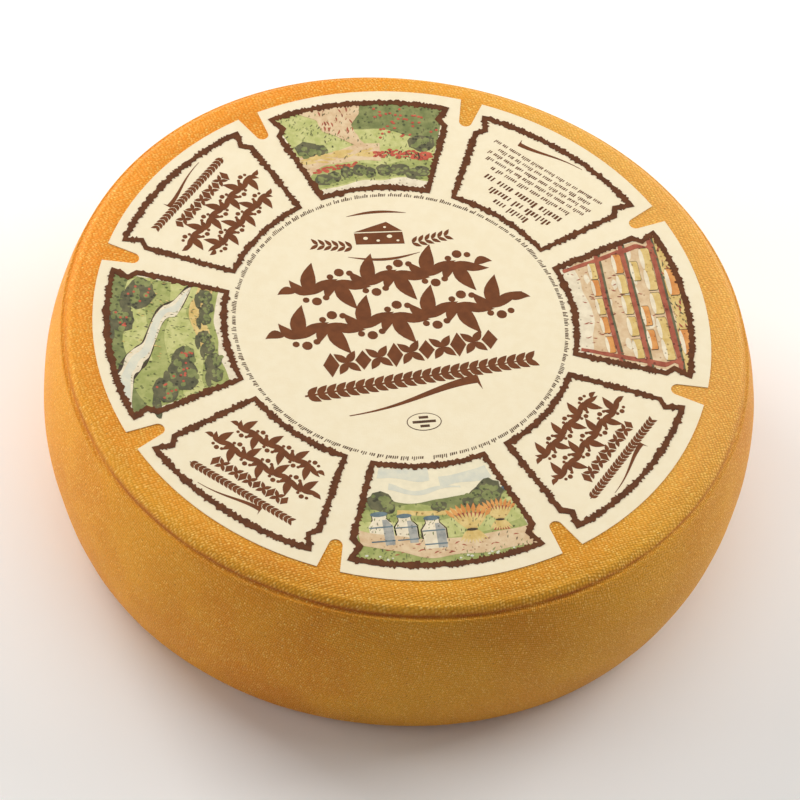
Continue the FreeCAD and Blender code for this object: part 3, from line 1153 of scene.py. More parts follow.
@dataclass
class OrnamentBlock:
    """Five stacked rows of brown ornament: two garlands, lozenges, grains and a flourish."""

    spot: Spot
    sheet: PrintSheet
    layer: int = 1

    def add(self, spot: Spot, points: Outline, ink: Ink = Ink.BROWN) -> None:
        """Add one shape drawn at this spot."""
        self.sheet.add(ink, self.layer, spot.draw(points))

    def garland(self, up: float, width: float, height: float, pairs: int) -> None:
        """A row of bold leaning leaf sprays and berries on a wavy vine.

        Args:
            up: height of the row's middle.
            width, height: the row's size.
            pairs: how many sprays it has, one up and one down by turns.
        """
        steps = pairs * 8
        spine = []
        for index in range(steps + 1):
            share = index / steps
            wave = math.sin(math.pi * pairs * share) * height * 0.10
            spine.append((width * (share - 0.5), up + wave))
        widths = [height * (0.05 + 0.04 * math.sin(math.pi * i / steps)) for i in range(steps + 1)]
        self.add(self.spot, stroke(spine, widths))
        for index in range(pairs):
            along = width * ((index + 0.5) / pairs - 0.5)
            side = 1 if index % 2 == 0 else -1
            root = self.spot.inner(along - 0.06 * height, up - side * 0.14 * height)
            for turn, length, fat in ((74, 0.90, 0.34), (24, 0.76, 0.25), (126, 0.60, 0.24)):
                self.add(root.inner(0, 0, side * turn),
                         leaf(length * height, fat * height, side * 0.06 * height))
            low = self.spot.inner(along + 0.04 * height, up - side * 0.34 * height)
            for across, lift, size, count in ((0, 0, 0.22, 12), (0.22, 0.06, 0.15, 10),
                                              (-0.22, 0.08, 0.15, 10)):
                self.add(low.inner(across * height, side * lift * height),
                         oval(size * height, size * height, count))
        for side in (1, -1):
            tip = self.spot.inner(side * width * 0.5, up, 0 if side > 0 else 180)
            self.add(tip, leaf(0.42 * height, 0.22 * height, side * 0.08 * height))

    def lozenges(self, up: float, width: float, height: float, count: int) -> None:
        """A row of upright lozenges by turns with four crossed leaves.

        Args:
            up: height of the row's middle.
            width, height: the row's size.
            count: how many shapes it has.
        """
        for index in range(count):
            along = width * ((index + 0.5) / count - 0.5)
            if index % 2 == 0:
                tall = height * (1.0 if index % 4 == 0 else 0.8)
                shape = [(0.27 * height, 0), (0, tall / 2), (-0.27 * height, 0), (0, -tall / 2)]
                self.add(self.spot.inner(along, up, -10), shape)
            else:
                for turn in (50, 130, 230, 310):
                    self.add(self.spot.inner(along, up, turn), leaf(0.56 * height, 0.28 * height))

    def grains(self, up: float, width: float, height: float, count: int) -> None:
        """A long ear of grain: kernels in slanting pairs along a thin stalk.

        Args:
            up: height of the stalk.
            width, height: the ear's size.
            count: how many pairs of kernels it has.
        """
        self.add(self.spot, stroke([(-width / 2, up), (0, up), (width / 2, up)],
                                   [0.10 * height, 0.12 * height, 0.06 * height]))
        for index in range(count):
            along = width * ((index + 0.3) / count - 0.5)
            for turn in (38, -38):
                self.add(self.spot.inner(along, up, turn), leaf(0.74 * height, 0.36 * height, 0, 5))

    def flourish(self, along: float, up: float, width: float) -> None:
        """A tapered stroke that ends in a small hook.

        Args:
            along, up: its middle.
            width: its length.
        """
        spine, widths = [], []
        for index in range(21):
            share = index / 20
            spine.append((along + width * (share - 0.5),
                          up + width * 0.07 * (-math.cos(math.pi * share ** 1.2))))
            widths.append(width * (0.008 + 0.068 * share ** 1.4))
        self.add(self.spot, stroke(spine, widths))
        end = self.spot.inner(along + width * 0.495, up + width * 0.07)
        self.add(end, [(-0.03 * width, 0.03 * width), (0.012 * width, 0.03 * width),
                       (0.016 * width, -0.10 * width)])

    def build(self, grain_width: float = 0.755) -> None:
        """Add all five rows.

        Args:
            grain_width: the length of the ear of grain.
        """
        self.garland(0.190, 0.60, 0.150, 6)
        self.garland(0.022, 0.76, 0.155, 7)
        self.lozenges(-0.122, 0.58, 0.098, 11)
        self.grains(-0.226, grain_width, 0.066, 24)
        self.flourish(-0.038, -0.298, 0.44)


@dataclass(frozen=True)
class Wave:
    """Uneven wavy line across a picture, the same each time it is read."""

    size: float
    count: float
    start: float

    def __call__(self, share: float) -> float:
        """How far the line is off its level at this place across."""
        return self.size * noise.noise(Vector((self.start + share * self.count, self.start, 0.5)))

    def edge(self, up: float, shift: float = 0.0, slope: float = 0.0) -> Edge:
        """Edge at this height that follows the wave from further along, and may rise."""
        return lambda share: up + self(share + shift) + slope * share


def flat(up: float) -> Edge:
    """Edge at one height all the way across."""
    return lambda share: up


@dataclass
class Panel:
    """One of the eight panels: its place and the shape of its picture field."""

    label: Label
    degrees: float
    sheet: PrintSheet
    seed: int
    foot: float = 0.943
    head: float = 0.573
    sides: tuple[Point, ...] = ((0.573, 17.7), (0.868, 18.5), (0.892, 16.9), (0.943, 18.0))

    def __post_init__(self) -> None:
        """Start the panel's own fixed row of random numbers."""
        self.dice = random.Random(self.seed)

    def spot(self, along: float, reach: float, turn: float = 0.0, scale: float = 1.0) -> Spot:
        """Place on the panel, upright as it is read: its top towards the label's middle.

        Args:
            along: distance from the panel's middle line, in label radii.
            reach: distance from the label's middle, in label radii.
            turn, scale: how the spot is turned and scaled.

        Returns:
            The spot.
        """
        out = math.radians(self.degrees)
        x = reach * math.cos(out) - along * math.sin(out)
        y = reach * math.sin(out) + along * math.cos(out)
        return Spot(self.label, x, y, self.degrees + 90 + turn, scale)

    def inside(self, across: float, up: float) -> Point:
        """Place in the picture field, in metres.

        Args:
            across: -1 at its left edge to 1 at its right edge.
            up: 0 at its foot to 1 at its top.

        Returns:
            The place on the label.
        """
        reach = self.foot + (self.head - self.foot) * up
        half = np.interp(reach, *zip(*self.sides))
        return self.label.point(reach, self.degrees + across * half)

    def at(self, across: float, up: float, turn: float = 0.0, scale: float = 1.0) -> Spot:
        """Spot in the picture field, upright as it is read.

        Args:
            across, up: its place, as inside() takes them.
            turn, scale: how it is turned and scaled.

        Returns:
            The spot.
        """
        x, y = self.inside(across, up)
        return Spot(self.label, (x - self.label.middle.x) / self.label.radius,
                    (y - self.label.middle.y) / self.label.radius,
                    self.degrees + 90 + turn, scale)

    def draw(self, ink: Ink, layer: int, spot: Spot, points: Outline) -> None:
        """Add one shape drawn at this spot."""
        self.sheet.add(ink, layer, spot.draw(points))

    def wave(self, size: float, count: float) -> Wave:
        """A new wavy line of this size, with about this many waves."""
        return Wave(size, count, self.dice.uniform(0, 50))

    def band(self, ink: Ink, layer: int, upper: Edge, lower: Edge,
             left: float = -1.0, right: float = 1.0) -> None:
        """Field of colour between two edges, each a height for every place across.

        Args:
            ink: the field's ink.
            layer: its layer.
            upper, lower: the edges.
            left, right: where the field starts and ends across the panel.
        """
        shares = [left + (right - left) * index / 44 for index in range(45)]
        tops = [min(1.0, max(0.02, upper(s))) for s in shares]
        feet = [max(0.0, min(top - 0.008, lower(s))) for s, top in zip(shares, tops)]
        edge = [self.inside(s, up) for s, up in zip(shares, tops)]
        edge += [self.inside(s, up) for s, up in zip(reversed(shares), reversed(feet))]
        self.sheet.add(ink, layer, edge)

    def lane(self, ink: Ink, layer: int, edges: tuple[tuple[float, float, float], ...],
             uneven: float = 0.05) -> None:
        """Winding strip given by its two edges at rising heights.

        Args:
            ink: the strip's ink.
            layer: its layer.
            edges: (up, left edge, right edge) from its lower to its upper end.
            uneven: how far its edges waver.
        """
        ups = np.linspace(edges[0][0], edges[-1][0], 36)
        rows = [np.interp(ups, [e[0] for e in edges], [e[side] for e in edges]) for side in (1, 2)]
        for _ in range(6):
            for row in rows:
                row[1:-1] = (row[:-2] + 2 * row[1:-1] + row[2:]) / 4
        wobble = self.wave(uneven, 14)
        left = [self.inside(max(-1.0, x + wobble(up)), up) for x, up in zip(rows[0], ups)]
        right = [self.inside(min(1.0, x + wobble(up + 9)), up) for x, up in zip(rows[1], ups)]
        self.sheet.add(ink, layer, right + left[::-1])

    def blobs(self, ink: Ink, layer: int, count: int, left: float, right: float, low: float,
              high: float, width: float, height: float) -> None:
        """Scatter uneven patches over a part of the picture field.

        Args:
            ink, layer: their ink and layer.
            count: how many there are.
            left, right, low, high: the part of the field.
            width, height: the size of a patch, which varies about it.
        """
        for _ in range(count):
            swell = self.dice.uniform(0.6, 1.25)
            spot = self.at(self.dice.uniform(left, right), self.dice.uniform(low, high),
                           self.dice.uniform(-18, 18))
            self.draw(ink, layer, spot, blob(width * swell, height * swell, self.dice, 9, 0.2))

    def ticks(self, ink: Ink, layer: int, count: int, left: float, right: float, low: float,
              high: float, length: float = 0.012, lean: float = 70.0) -> None:
        """Scatter short pen or brush strokes over a part of the picture field.

        Args:
            ink, layer: their ink and layer.
            count: how many there are.
            left, right, low, high: the part of the field.
            length: the length of a stroke, which varies about it.
            lean: their angle in degrees, which varies too.
        """
        for _ in range(count):
            spot = self.at(self.dice.uniform(left, right), self.dice.uniform(low, high),
                           lean + self.dice.uniform(-28, 28))
            long = length * self.dice.uniform(0.5, 1.3)
            self.draw(ink, layer, spot, leaf(long, long * 0.26, 0.08 * long, 3))

    def bush(self, across: float, up: float, width: float, height: float,
             layer: int = 3, fruit: Ink | None = None) -> None:
        """A round bush: a dark patch with lighter tufts on its lit side.

        Args:
            across, up: its middle, moved in where it would cross the picture's edge.
            width, height: its size in label radii.
            layer: the layer of the dark patch.
            fruit: the ink of its fruit, where it has any.
        """
        reach = self.foot + (self.head - self.foot) * up
        limit = 1 - 0.56 * width / (0.3 * reach)
        spot = self.at(max(-limit, min(limit, across)), up)
        self.draw(Ink.SHADE, layer, spot, blob(width, height, self.dice, 18, 0.13))
        for _ in range(9):
            turn = self.dice.uniform(0, 2 * math.pi)
            out = self.dice.uniform(0.1, 0.42)
            tuft = spot.inner(width * (out * math.cos(turn) - 0.05),
                              height * (out * math.sin(turn) + 0.08))
            size = self.dice.uniform(0.16, 0.3)
            self.draw(Ink.LEAF, layer + 1, tuft,
                      blob(width * size, height * size, self.dice, 8, 0.25))
        for _ in range(7 if fruit else 0):
            turn = self.dice.uniform(0, 2 * math.pi)
            out = self.dice.uniform(0.05, 0.4)
            berry = spot.inner(width * out * math.cos(turn), height * out * math.sin(turn))
            self.draw(fruit, layer + 2, berry, oval(0.009, 0.009, 7))

    def ground(self, ink: Ink) -> None:
        """Lay the whole picture field with a first wash."""
        self.band(ink, 0, flat(1.0), flat(0.0))


class ChurnPicture(Panel):
    """Milk churns and a tied sheaf beside a lane, under a pale sky."""

    def churn(self, across: float, up: float, size: float) -> None:
        """One standing milk churn with a lid, a shaded side and two rings.

        Args:
            across, up: where it stands.
            size: its scale.
        """
        spot = self.at(across, up, 0, size)
        body = [(-0.030, 0), (0.030, 0), (0.032, 0.062), (0.018, 0.082), (0.018, 0.094),
                (-0.018, 0.094), (-0.018, 0.082), (-0.032, 0.062)]
        self.draw(Ink.OUTLINE, 4, spot, [(x * 1.14, y * 1.05 - 0.002) for x, y in body])
        self.draw(Ink.STONE, 5, spot, body)
        self.draw(Ink.GREY, 6, spot, [(0.004, 0.001), (0.029, 0.001), (0.031, 0.061),
                                      (0.017, 0.081), (0.006, 0.081)])
        self.draw(Ink.BLUE, 7, spot.inner(0, 0.099), oval(0.046, 0.016, 12))
        for height in (0.012, 0.056):
            self.draw(Ink.BLUE, 7, spot, bar(0.062, 0.004, height))

    def sheaf(self, across: float, up: float, size: float) -> None:
        """A tied sheaf of corn with its ears fanned out.

        Args:
            across, up: where it stands.
            size: its scale.
        """
        spot = self.at(across, up, 0, size)
        self.draw(Ink.PLANK, 4, spot, [(-0.026, 0), (0.026, 0), (0.010, 0.036), (0.040, 0.086),
                                       (-0.040, 0.086), (-0.010, 0.036)])
        for index in range(9):
            turn = 90 + (index - 4) * 9.5
            root = spot.inner((index - 4) * -0.0022, 0.036, turn)
            self.draw(Ink.STRAW, 5, root, leaf(0.066, 0.008, 0, 4))
            self.draw(Ink.ORANGE, 6, root.inner(0.046, 0), leaf(0.032, 0.0105, 0, 4))
            foot = spot.inner((index - 4) * 0.002, 0.037, turn + 180)
            self.draw(Ink.STRAW, 5, foot, leaf(0.042, 0.0085, 0, 4))
        self.draw(Ink.OUTLINE, 7, spot.inner(0, 0.036), oval(0.028, 0.008, 10))

    def build(self) -> None:
        """Draw the picture."""
        self.ground(Ink.SKY)
        hill, verge, lane = self.wave(0.09, 1.7), self.wave(0.05, 2.4), self.wave(0.05, 2.0)
        for top, foot, shift, left, right in ((0.92, 0.87, 2, -0.9, -0.05),
                                              (0.84, 0.79, 1, 0.1, 0.92),
                                              (0.76, 0.72, 3, -0.7, 0.4)):
            self.band(Ink.CLOUD, 1, hill.edge(top, shift), hill.edge(foot, shift + 3),
                      left, right)
        self.band(Ink.BLUE, 1, hill.edge(0.66, 4), flat(0.5), 0.1, 1.0)
        self.band(Ink.LEAF, 2, hill.edge(0.61, 7), flat(0.5))
        self.band(Ink.MEADOW, 3, hill.edge(0.56), flat(0.0))
        self.band(Ink.SPRING, 4, verge.edge(0.46, 0, 0.05), lane.edge(0.26))
        self.band(Ink.STRAW, 4, verge.edge(0.54, 2), verge.edge(0.49, 2), -0.55, 0.35)
        self.band(Ink.PATH, 5, lane.edge(0.25, 3, -0.03), verge.edge(0.08, 5, -0.05))
        self.ticks(Ink.PLANK, 5, 26, -0.8, 0.9, 0.08, 0.22, 0.018, 4)
        for across, up, width, height in ((0.88, 0.64, 0.09, 0.10), (0.66, 0.61, 0.10, 0.08),
                                          (0.50, 0.58, 0.07, 0.06), (-0.90, 0.62, 0.08, 0.08),
                                          (-0.70, 0.58, 0.06, 0.06), (0.02, 0.58, 0.05, 0.04)):
            self.bush(across, up, width, height, 4)
        for ink, count, low, high in ((Ink.LEAF, 110, 0.28, 0.5), (Ink.SHADE, 50, 0.03, 0.46),
                                      (Ink.LEAF, 50, 0.01, 0.08)):
            self.ticks(ink, 5, count, -0.95, 0.95, low, high)
        for across, up, size in ((-0.70, 0.17, 1.2), (-0.40, 0.21, 1.05), (-0.10, 0.16, 1.15)):
            self.churn(across, up, size)
        self.sheaf(0.34, 0.18, 1.3)
        self.sheaf(0.68, 0.24, 1.05)
        self.blobs(Ink.CLOUD, 6, 12, -0.9, 0.9, 0.02, 0.07, 0.010, 0.008)


class ShelfPicture(Panel):
    """A store of round cheeses on red-brown plank shelves."""

    @staticmethod
    def level(up: float, across: float) -> float:
        """Height across the panel of a straight level line that is this high at its middle."""
        return up - 0.105 * across ** 2

    def cheese(self, across: float, up: float, width: float, thick: float = 0.42) -> None:
        """One wheel lying on its shelf, seen from a little above.

        Args:
            across, up: the middle of its foot.
            width: its width in label radii.
            thick: its height as a share of its width.
        """
        spot = self.at(across, self.level(up, across))
        height = width * thick
        side = [(-width / 2, 0.1 * height), (-0.42 * width, 0), (0.42 * width, 0),
                (width / 2, 0.1 * height), (width / 2, 0.8 * height),
                (-width / 2, 0.8 * height)]
        self.draw(Ink.OUTLINE, 5, spot, [(x * 1.05, y * 1.08 - 0.001) for x, y in side])
        self.draw(self.dice.choice((Ink.STRAW, Ink.ORANGE)), 6, spot, side)
        self.draw(Ink.STONE, 7, spot.inner(0, 0.82 * height),
                  oval(width * 0.98, height * 0.40, 14))

    def shelf(self, up: float, thick: float) -> None:
        """A plank across the picture with a shadow below it.

        Args:
            up: height of its top edge at the picture's middle.
            thick: how thick it looks.
        """
        self.band(Ink.SHADE, 3, lambda s: self.level(up, s) - 0.01,
                  lambda s: self.level(up, s) - thick - 0.022)
        self.band(Ink.PLANK, 4, lambda s: self.level(up, s) + 0.004 * math.sin(9 * s),
                  lambda s: self.level(up, s) - thick)

    def build(self) -> None:
        """Draw the picture."""
        self.ground(Ink.PATH)
        floor = self.wave(0.03, 3)
        self.band(Ink.STONE, 1, flat(1.0), floor.edge(0.86))
        self.blobs(Ink.STONE, 2, 14, -0.85, 0.85, 0.30, 0.80, 0.05, 0.022)
        self.ticks(Ink.PLANK, 3, 60, -0.92, 0.92, 0.24, 0.92, 0.016, 86)
        self.band(Ink.STRAW, 2, lambda s: self.level(0.14, s) + floor(s), flat(0.0))
        self.ticks(Ink.PLANK, 4, 26, -0.92, 0.92, 0.01, 0.10, 0.022, 4)
        for up, thick in ((0.20, 0.045), (0.47, 0.04), (0.72, 0.035)):
            self.shelf(up, thick)
        for up, places, width in ((0.20, (-0.72, -0.36, 0.0, 0.36, 0.72), 0.088),
                                  (0.47, (-0.70, -0.34, 0.02, 0.38, 0.72), 0.078),
                                  (0.72, (-0.68, -0.32, 0.04, 0.40, 0.72), 0.066)):
            for across in places:
                self.cheese(across + self.dice.uniform(-0.02, 0.02), up + 0.005, width)
        for across in (-0.54, -0.17, 0.54):
            self.cheese(across, 0.335, 0.080, 0.36)
        for across in (-0.90, 0.90):
            self.lane(Ink.PLANK, 4, ((0.06, across - 0.035, across + 0.035),
                                     (0.96, across - 0.035, across + 0.035)), 0.01)
        self.cheese(-0.55, 0.03, 0.10, 0.34)
        self.cheese(0.30, 0.02, 0.11, 0.34)
        self.ticks(Ink.SHADE, 5, 40, -0.9, 0.9, 0.02, 0.12, 0.014, 5)


class PoppyPicture(Panel):
    """Fields with a strip of poppies, a stubble field and a hedge of dark trees."""

    def build(self) -> None:
        """Draw the picture."""
        self.ground(Ink.SPRING)
        rise, dip, verge = self.wave(0.07, 2.0), self.wave(0.06, 2.6), self.wave(0.05, 3.0)
        self.band(Ink.STONE, 1, flat(1.0), dip.edge(0.90))
        self.band(Ink.MEADOW, 2, dip.edge(0.88), rise.edge(0.70))
        self.band(Ink.PATH, 2, rise.edge(0.66, 0, 0.06), verge.edge(0.50), -0.2, 0.99)
        self.blobs(Ink.RED, 3, 70, -0.95, -0.12, 0.55, 0.645, 0.017, 0.011)
        self.blobs(Ink.RED, 3, 46, 0.12, 0.92, 0.69, 0.74, 0.015, 0.009)
        self.blobs(Ink.STRAW, 3, 26, -0.1, 0.95, 0.52, 0.62, 0.05, 0.012)
        self.band(Ink.LEAF, 2, dip.edge(0.30, 4, -0.16), flat(0.0), -0.99, 0.45)
        self.lane(Ink.PATH, 4, ((0.0, 0.0, 0.75), (0.12, 0.02, 0.55), (0.26, 0.16, 0.50),
                                (0.40, 0.06, 0.28), (0.55, -0.06, 0.06)))
        self.ticks(Ink.PLANK, 5, 20, 0.12, 0.5, 0.02, 0.3, 0.02, 84)
        for index in range(9):
            across = -0.92 + 0.225 * index + self.dice.uniform(-0.04, 0.04)
            self.bush(across, 0.80 + self.dice.uniform(-0.02, 0.03), self.dice.uniform(0.04, 0.07),
                      0.05, 4)
        for across, up, width, height in ((-0.86, 0.45, 0.09, 0.075), (0.86, 0.44, 0.08, 0.07),
                                          (0.64, 0.48, 0.05, 0.045)):
            self.bush(across, up, width, height)
        for _ in range(34):
            spot = self.at(self.dice.uniform(-0.95, -0.15), self.dice.uniform(0.05, 0.42))
            self.draw(Ink.RED, 6, spot, blob(0.011, 0.009, self.dice, 7, 0.2))
        self.ticks(Ink.LEAF, 4, 150, -0.96, 0.96, 0.02, 0.5)
        self.ticks(Ink.SHADE, 5, 90, -0.96, 0.96, 0.02, 0.9)
        self.ticks(Ink.OUTLINE, 5, 40, -0.9, -0.1, 0.56, 0.64, 0.012, 90)


class StreamPicture(Panel):
    """Rolling green hills with a pale stream and rows of round bushes."""

    def build(self) -> None:
        """Draw the picture."""
        self.ground(Ink.MEADOW)
        crest, fold, bank = self.wave(0.08, 2.0), self.wave(0.08, 2.4), self.wave(0.07, 2.8)
        self.band(Ink.STONE, 1, flat(1.0), crest.edge(0.90))
        self.band(Ink.STRAW, 2, crest.edge(0.86, 3), fold.edge(0.72), -0.99, 0.2)
        self.band(Ink.SPRING, 2, fold.edge(0.72, 2), bank.edge(0.50))
        self.band(Ink.SPRING, 2, bank.edge(0.34, 5), fold.edge(0.16, 6), -0.99, 0.3)
        self.band(Ink.LEAF, 2, crest.edge(0.14, 7), flat(0.0))
        banks = ((0.0, 0.46, 0.98), (0.10, 0.26, 0.64), (0.18, 0.12, 0.42), (0.28, 0.06, 0.30),
                 (0.36, -0.18, 0.20), (0.42, -0.52, -0.10), (0.50, -0.62, -0.42),
                 (0.58, -0.62, -0.38), (0.64, -0.96, -0.50), (0.69, -1.0, -0.90))
        for ink, layer, inset in ((Ink.OUTLINE, 3, -0.03), (Ink.STONE, 4, 0.0),
                                  (Ink.CLOUD, 5, 0.07)):
            inner = tuple((up, left + inset, right - inset) for up, left, right in banks)
            self.lane(ink, layer, inner)
        for across, up, size in ((0.62, 0.55, 0.12), (0.88, 0.36, 0.10), (0.30, 0.62, 0.08),
                                 (-0.72, 0.26, 0.12), (-0.36, 0.12, 0.10), (-0.85, 0.82, 0.06),
                                 (-0.60, 0.86, 0.05), (-0.38, 0.84, 0.05), (0.0, 0.82, 0.055),
                                 (0.22, 0.84, 0.05), (0.50, 0.86, 0.06), (0.76, 0.82, 0.06)):
            shadow = self.at(across, up).inner(0.35 * size, -0.42 * size)
            self.draw(Ink.SHADE, 3, shadow, blob(size, 0.3 * size, self.dice, 14, 0.1))
            fruit = Ink.RED if size > 0.075 else None
            self.bush(across, up, size, size * 0.82, 5, fruit)
        self.ticks(Ink.LEAF, 4, 170, -0.96, 0.96, 0.02, 0.86)
        self.ticks(Ink.SHADE, 4, 90, -0.96, 0.96, 0.02, 0.86)
        self.ticks(Ink.STRAW, 4, 50, -0.96, 0.3, 0.1, 0.5)


class OrnamentPanel(Panel):
    """Panel with the ornament block at half size."""

    def build(self) -> None:
        """Draw the block."""
        OrnamentBlock(self.spot(0.0, 0.748, 3.0, 0.49), self.sheet).build(0.78)


@dataclass
class SmallPrint:
    """Rows of small leaning strokes that stand for small print, with no letters."""

    sheet: PrintSheet
    seed: int
    pitch: float = 0.44

    def row(self, spots: list[Spot], height: float, ink: Ink = Ink.FINE) -> None:
        """Add strokes at these spots, with a gap after every few of them.

        Args:
            spots: one place for each stroke.
            height: the strokes' height in label radii.
            ink: their ink.
        """
        dice = random.Random(self.seed + len(spots))
        left_in_word = dice.randint(3, 8)
        for spot in spots:
            left_in_word -= 1
            if left_in_word < 0:
                left_in_word = dice.randint(3, 8)
                continue
            tall = height * dice.choice((0.62, 0.68, 0.74, 1.0))
            wide = height * dice.uniform(0.17, 0.30)
            lean = 0.2 * tall
            shape = [(0, 0), (wide, 0), (wide + lean, tall), (lean, tall)]
            self.sheet.add(ink, 1, spot.draw(shape))

    def ring(self, label: Label, reach: float, height: float, start: float, end: float) -> None:
        """Strokes round the label's middle field.

        Args:
            label: the label they are printed on.
            reach: their distance from its middle, in label radii.
            height: their height.
            start, end: the angles between which they run, in degrees.
        """
        pitch = math.degrees(height * self.pitch / reach)
        spots = []
        for index in range(int((end - start) / pitch)):
            degrees = start + index * pitch
            turn = math.radians(degrees)
            spots.append(Spot(label, reach * math.cos(turn), reach * math.sin(turn), degrees - 90))
        self.row(spots, height)

    def panel(self, panel: Panel) -> None:
        """Eight lines on a panel: three bold ones at its head and five finer ones.

        Args:
            panel: the panel.
        """
        lines = ((0.628, 0.14, 0.026), (0.664, 0.27, 0.028), (0.702, 0.31, 0.028),
                 (0.738, 0.32, 0.018), (0.766, 0.40, 0.016), (0.792, 0.42, 0.016),
                 (0.818, 0.38, 0.016), (0.844, 0.44, 0.015))
        for reach, width, height in lines:
            step = height * self.pitch
            spots = [panel.spot(-width / 2 + index * step, reach, 3.0)
                     for index in range(int(width / step))]
            self.row(spots, height, Ink.FRAME)


@dataclass
class LabelPrint:
    """Everything printed on the label: eight framed panels, the middle field and small print."""

    label: Label

    def frames(self) -> None:
        """Eight ragged frames."""
        for index in range(8):
            degrees = self.label.first_panel + 45 * index
            piece = PanelFrame(self.label, degrees, seed=20 + index).build("panel_frame_%d" % index)
            piece.data.materials.append(INK_MATERIALS[Ink.FRAME])
            ride(piece)
            LOG.info("%s: %d faces", piece.name, len(piece.data.polygons))

    def pictures(self) -> None:
        """Four pictures, one sheet of print each."""
        for kind, degrees, name in ((ChurnPicture, 285.6, "churn_picture"),
                                    (ShelfPicture, 15.6, "shelf_picture"),
                                    (PoppyPicture, 105.6, "poppy_picture"),
                                    (StreamPicture, 195.6, "stream_picture")):
            sheet = PrintSheet(self.label, name)
            kind(self.label, degrees, sheet, seed=int(degrees)).build()
            sheet.build()

    def emblem(self, sheet: PrintSheet, block: Spot) -> None:
        """A cut wedge of cheese between two ears of grain, with a flourish above and below.

        Args:
            sheet: the sheet it is printed on.
            block: the spot of the ornament that it stands over.
        """
        wedge = block.inner(0.03, 0.37, -6)
        side = [(-0.085, -0.035), (0.075, -0.045), (0.075, 0.005), (-0.085, 0.012)]
        top = [(-0.085, 0.017), (0.075, 0.010), (0.028, 0.052)]
        for shape in (side, top):
            sheet.add(Ink.BROWN, 1, wedge.draw(shape))
        for x, y, size in ((-0.05, -0.012, 0.016), (-0.01, -0.025, 0.012), (0.03, -0.010, 0.018),
                           (0.055, -0.030, 0.010), (0.02, 0.030, 0.010)):
            sheet.add(Ink.PAPER, 2, wedge.inner(x, y).draw(oval(size, size * 0.8, 10)))
        for way in (1, -1):
            root = wedge.inner(way * 0.10, -0.045, 90 - way * 90)
            for index in range(6):
                step = root.inner(0.022 * index, 0.004 * index * way, 12 * way)
                for turn in (42, -42):
                    sheet.add(Ink.BROWN, 1, step.inner(0, 0, turn).draw(leaf(0.034, 0.014, 0, 4)))
        for up, width, bend in ((0.085, 0.20, 0.012), (-0.085, 0.24, -0.02)):
            spine, widths = [], []
            for index in range(17):
                share = index / 16
                spine.append((width * (share - 0.5), up + bend * math.sin(math.pi * share)))
                widths.append(0.001 + 0.010 * math.sin(math.pi * share))
            sheet.add(Ink.BROWN, 1, wedge.draw(stroke(spine, widths)))

    def oval_mark(self, sheet: PrintSheet) -> None:
        """A thin oval ring with three short bars.

        Args:
            sheet: the sheet it is printed on.
        """
        spot = Spot(self.label, 0.118, -0.382, 15.6)
        sheet.add(Ink.FINE, 1, spot.draw(oval(0.112, 0.070, 32)))
        sheet.add(Ink.PAPER, 2, spot.draw(oval(0.106, 0.064, 32)))
        for up, width in ((0.017, 0.03), (0.0, 0.075), (-0.017, 0.03)):
            sheet.add(Ink.FINE, 3, spot.inner(0, up).draw(bar(width, 0.010, -0.005)))

    def build(self) -> None:
        """Model all of the print."""
        for ink in Ink:
            INK_MATERIALS[ink] = ink.value.make()
        self.frames()
        self.pictures()
        panels = PrintSheet(self.label, "panel_ornament")
        for degrees in (150.6, 240.6, 330.6):
            OrnamentPanel(self.label, degrees, panels, seed=1).build()
        panels.build()
        middle = PrintSheet(self.label, "middle_print")
        block = Spot(self.label, 0.0, 0.0, 21.8)
        OrnamentBlock(block, middle).build()
        self.emblem(middle, block)
        self.oval_mark(middle)
        middle.build()
        small = PrintSheet(self.label, "small_print")
        small_print = SmallPrint(small, seed=5)
        small_print.ring(self.label, 0.533, 0.0150, -72.0, 285.0)
        notes = Panel(self.label, 60.6, small, seed=2)
        small_print.panel(notes)
        OrnamentBlock(notes.spot(0.02, 0.748, 3.0, 0.52), small).flourish(0.0, -0.29, 0.44)
        small.build()


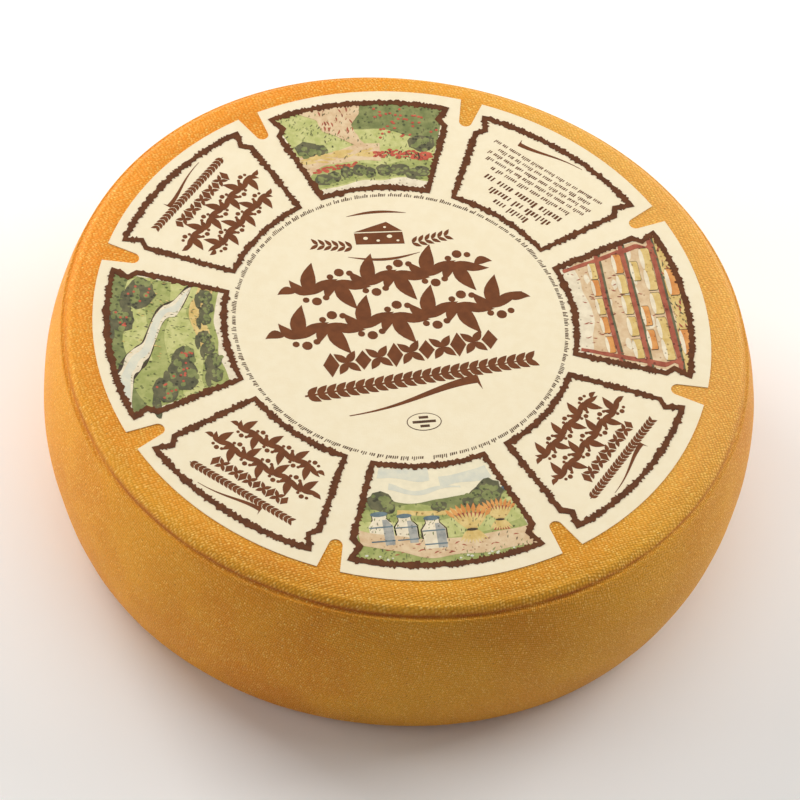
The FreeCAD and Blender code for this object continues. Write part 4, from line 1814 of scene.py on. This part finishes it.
# ---------------------------------------------------------------- studio
@dataclass
class Studio:
    """Camera, pale floor and soft lights; the camera's distances are in label radii."""

    label: Label
    elevation: float = math.radians(52.60)
    roll: float = math.radians(8.162)
    distance: float = 11.6043
    across: float = 0.0117
    above: float = 0.2473
    lens: float = 162.0
    surround: float = 0.25
    floor_tone: float = 0.94

    def camera(self) -> None:
        """Place the camera by its distance and turn from the label's middle."""
        ahead = Vector((0, math.cos(self.elevation), -math.sin(self.elevation)))
        level = Vector((1, 0, 0))
        upright = level.cross(ahead)
        right = level * math.cos(self.roll) + upright * math.sin(self.roll)
        up = upright * math.cos(self.roll) - level * math.sin(self.roll)
        away = -ahead * self.distance - right * self.across - up * self.above
        bpy.ops.object.camera_add()
        camera = bpy.context.object
        camera.data.lens = self.lens
        camera.data.sensor_width = 36.0
        camera.data.clip_end = 50.0
        camera.data.clip_start = 0.01
        turn = Matrix((right, up, -ahead)).transposed().to_4x4()
        stand = self.label.middle + away * self.label.radius
        camera.matrix_world = Matrix.Translation(stand) @ turn
        bpy.context.scene.camera = camera

    def light(self, name: str, place_at: Point, height: float, size: float, power: float,
              colour: Colour) -> None:
        """Add a square soft light that looks at the wheel.

        Args:
            name: the light's name.
            place_at: where it stands on the ground plan, in metres.
            height: its height above the ground, in metres.
            size: its side, in metres.
            power: its power, in watts.
            colour: its linear colour.
        """
        data = bpy.data.lights.new(name, "AREA")
        data.energy = power
        data.size = size
        data.color = colour
        lamp = bpy.data.objects.new(name, data)
        bpy.context.scene.collection.objects.link(lamp)
        stand = Vector((*place_at, height))
        aim = Vector((0, 0, 0.03)) - stand
        lamp.rotation_euler = aim.to_track_quat("-Z", "Y").to_euler()
        lamp.location = stand

    def build(self) -> None:
        """Build the camera, the lights, the surroundings and the floor."""
        self.camera()
        warm, pale, golden = (1.0, 0.97, 0.93), (1.0, 0.98, 0.95), (1.0, 0.96, 0.86)
        self.light("left_light", (-0.75, 0.55), 0.62, 0.6, 7.1, warm)
        self.light("right_light", (0.75, 0.50), 0.55, 0.6, 5.7, warm)
        self.light("top_light", (0.0, 0.30), 1.20, 0.8, 3.9, pale)
        self.light("left_glow", (-0.85, -0.10), 0.14, 0.4, 3.4, golden)
        self.light("right_glow", (0.85, 0.30), 0.14, 0.4, 1.2, golden)
        world = bpy.data.worlds.new("surroundings")
        bpy.context.scene.world = world
        world.use_nodes = True
        background = world.node_tree.nodes["Background"].inputs
        background["Color"].default_value = (1, 1, 1, 1)
        background["Strength"].default_value = self.surround
        deselect()
        bpy.ops.mesh.primitive_plane_add(size=6.0, location=(0, 0, 0))
        floor = bpy.context.object
        floor.name = "floor"
        material, _, shader = new_material("pale_floor", 0.9, 0.1)
        shader.inputs["Base Color"].default_value = (*(self.floor_tone,) * 3, 1)
        floor.data.materials.append(material)
        bpy.context.scene.view_settings.view_transform = "Standard"


def main() -> None:
    """Load the frame, build each piece in order and report it."""
    logging.basicConfig(level=logging.INFO, format="%(name)s: %(message)s")
    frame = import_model()
    cloth_imprint_group()
    mottle_group()

    _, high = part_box("cheese_wheel")
    label_low, label_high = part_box("paper_label")
    label = Label(middle=Vector(((label_low.x + label_high.x) / 2,
                                 (label_low.y + label_high.y) / 2, label_high.z)),
                  radius=(label_high.x - label_low.x) / 2)

    wheel = CheeseWheel(middle=Vector((0, 0, high.z)), height=high.z).build()
    wheel.data.materials.append(RindFinish().make())
    ride(wheel)
    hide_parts("cheese_wheel")
    LOG.info("%s: %d faces", wheel.name, len(wheel.data.polygons))

    paper = frame["nodes"]["paper_label"]
    paper.data.materials.clear()
    paper.data.materials.append(PaperFinish().make())

    shift = Vector((PRINT_SHIFT * label.radius, 0, 0))
    LabelPrint(Label(middle=label.middle + shift, radius=label.radius)).build()
    Studio(label).build()


if __name__ == "__main__":
    main()
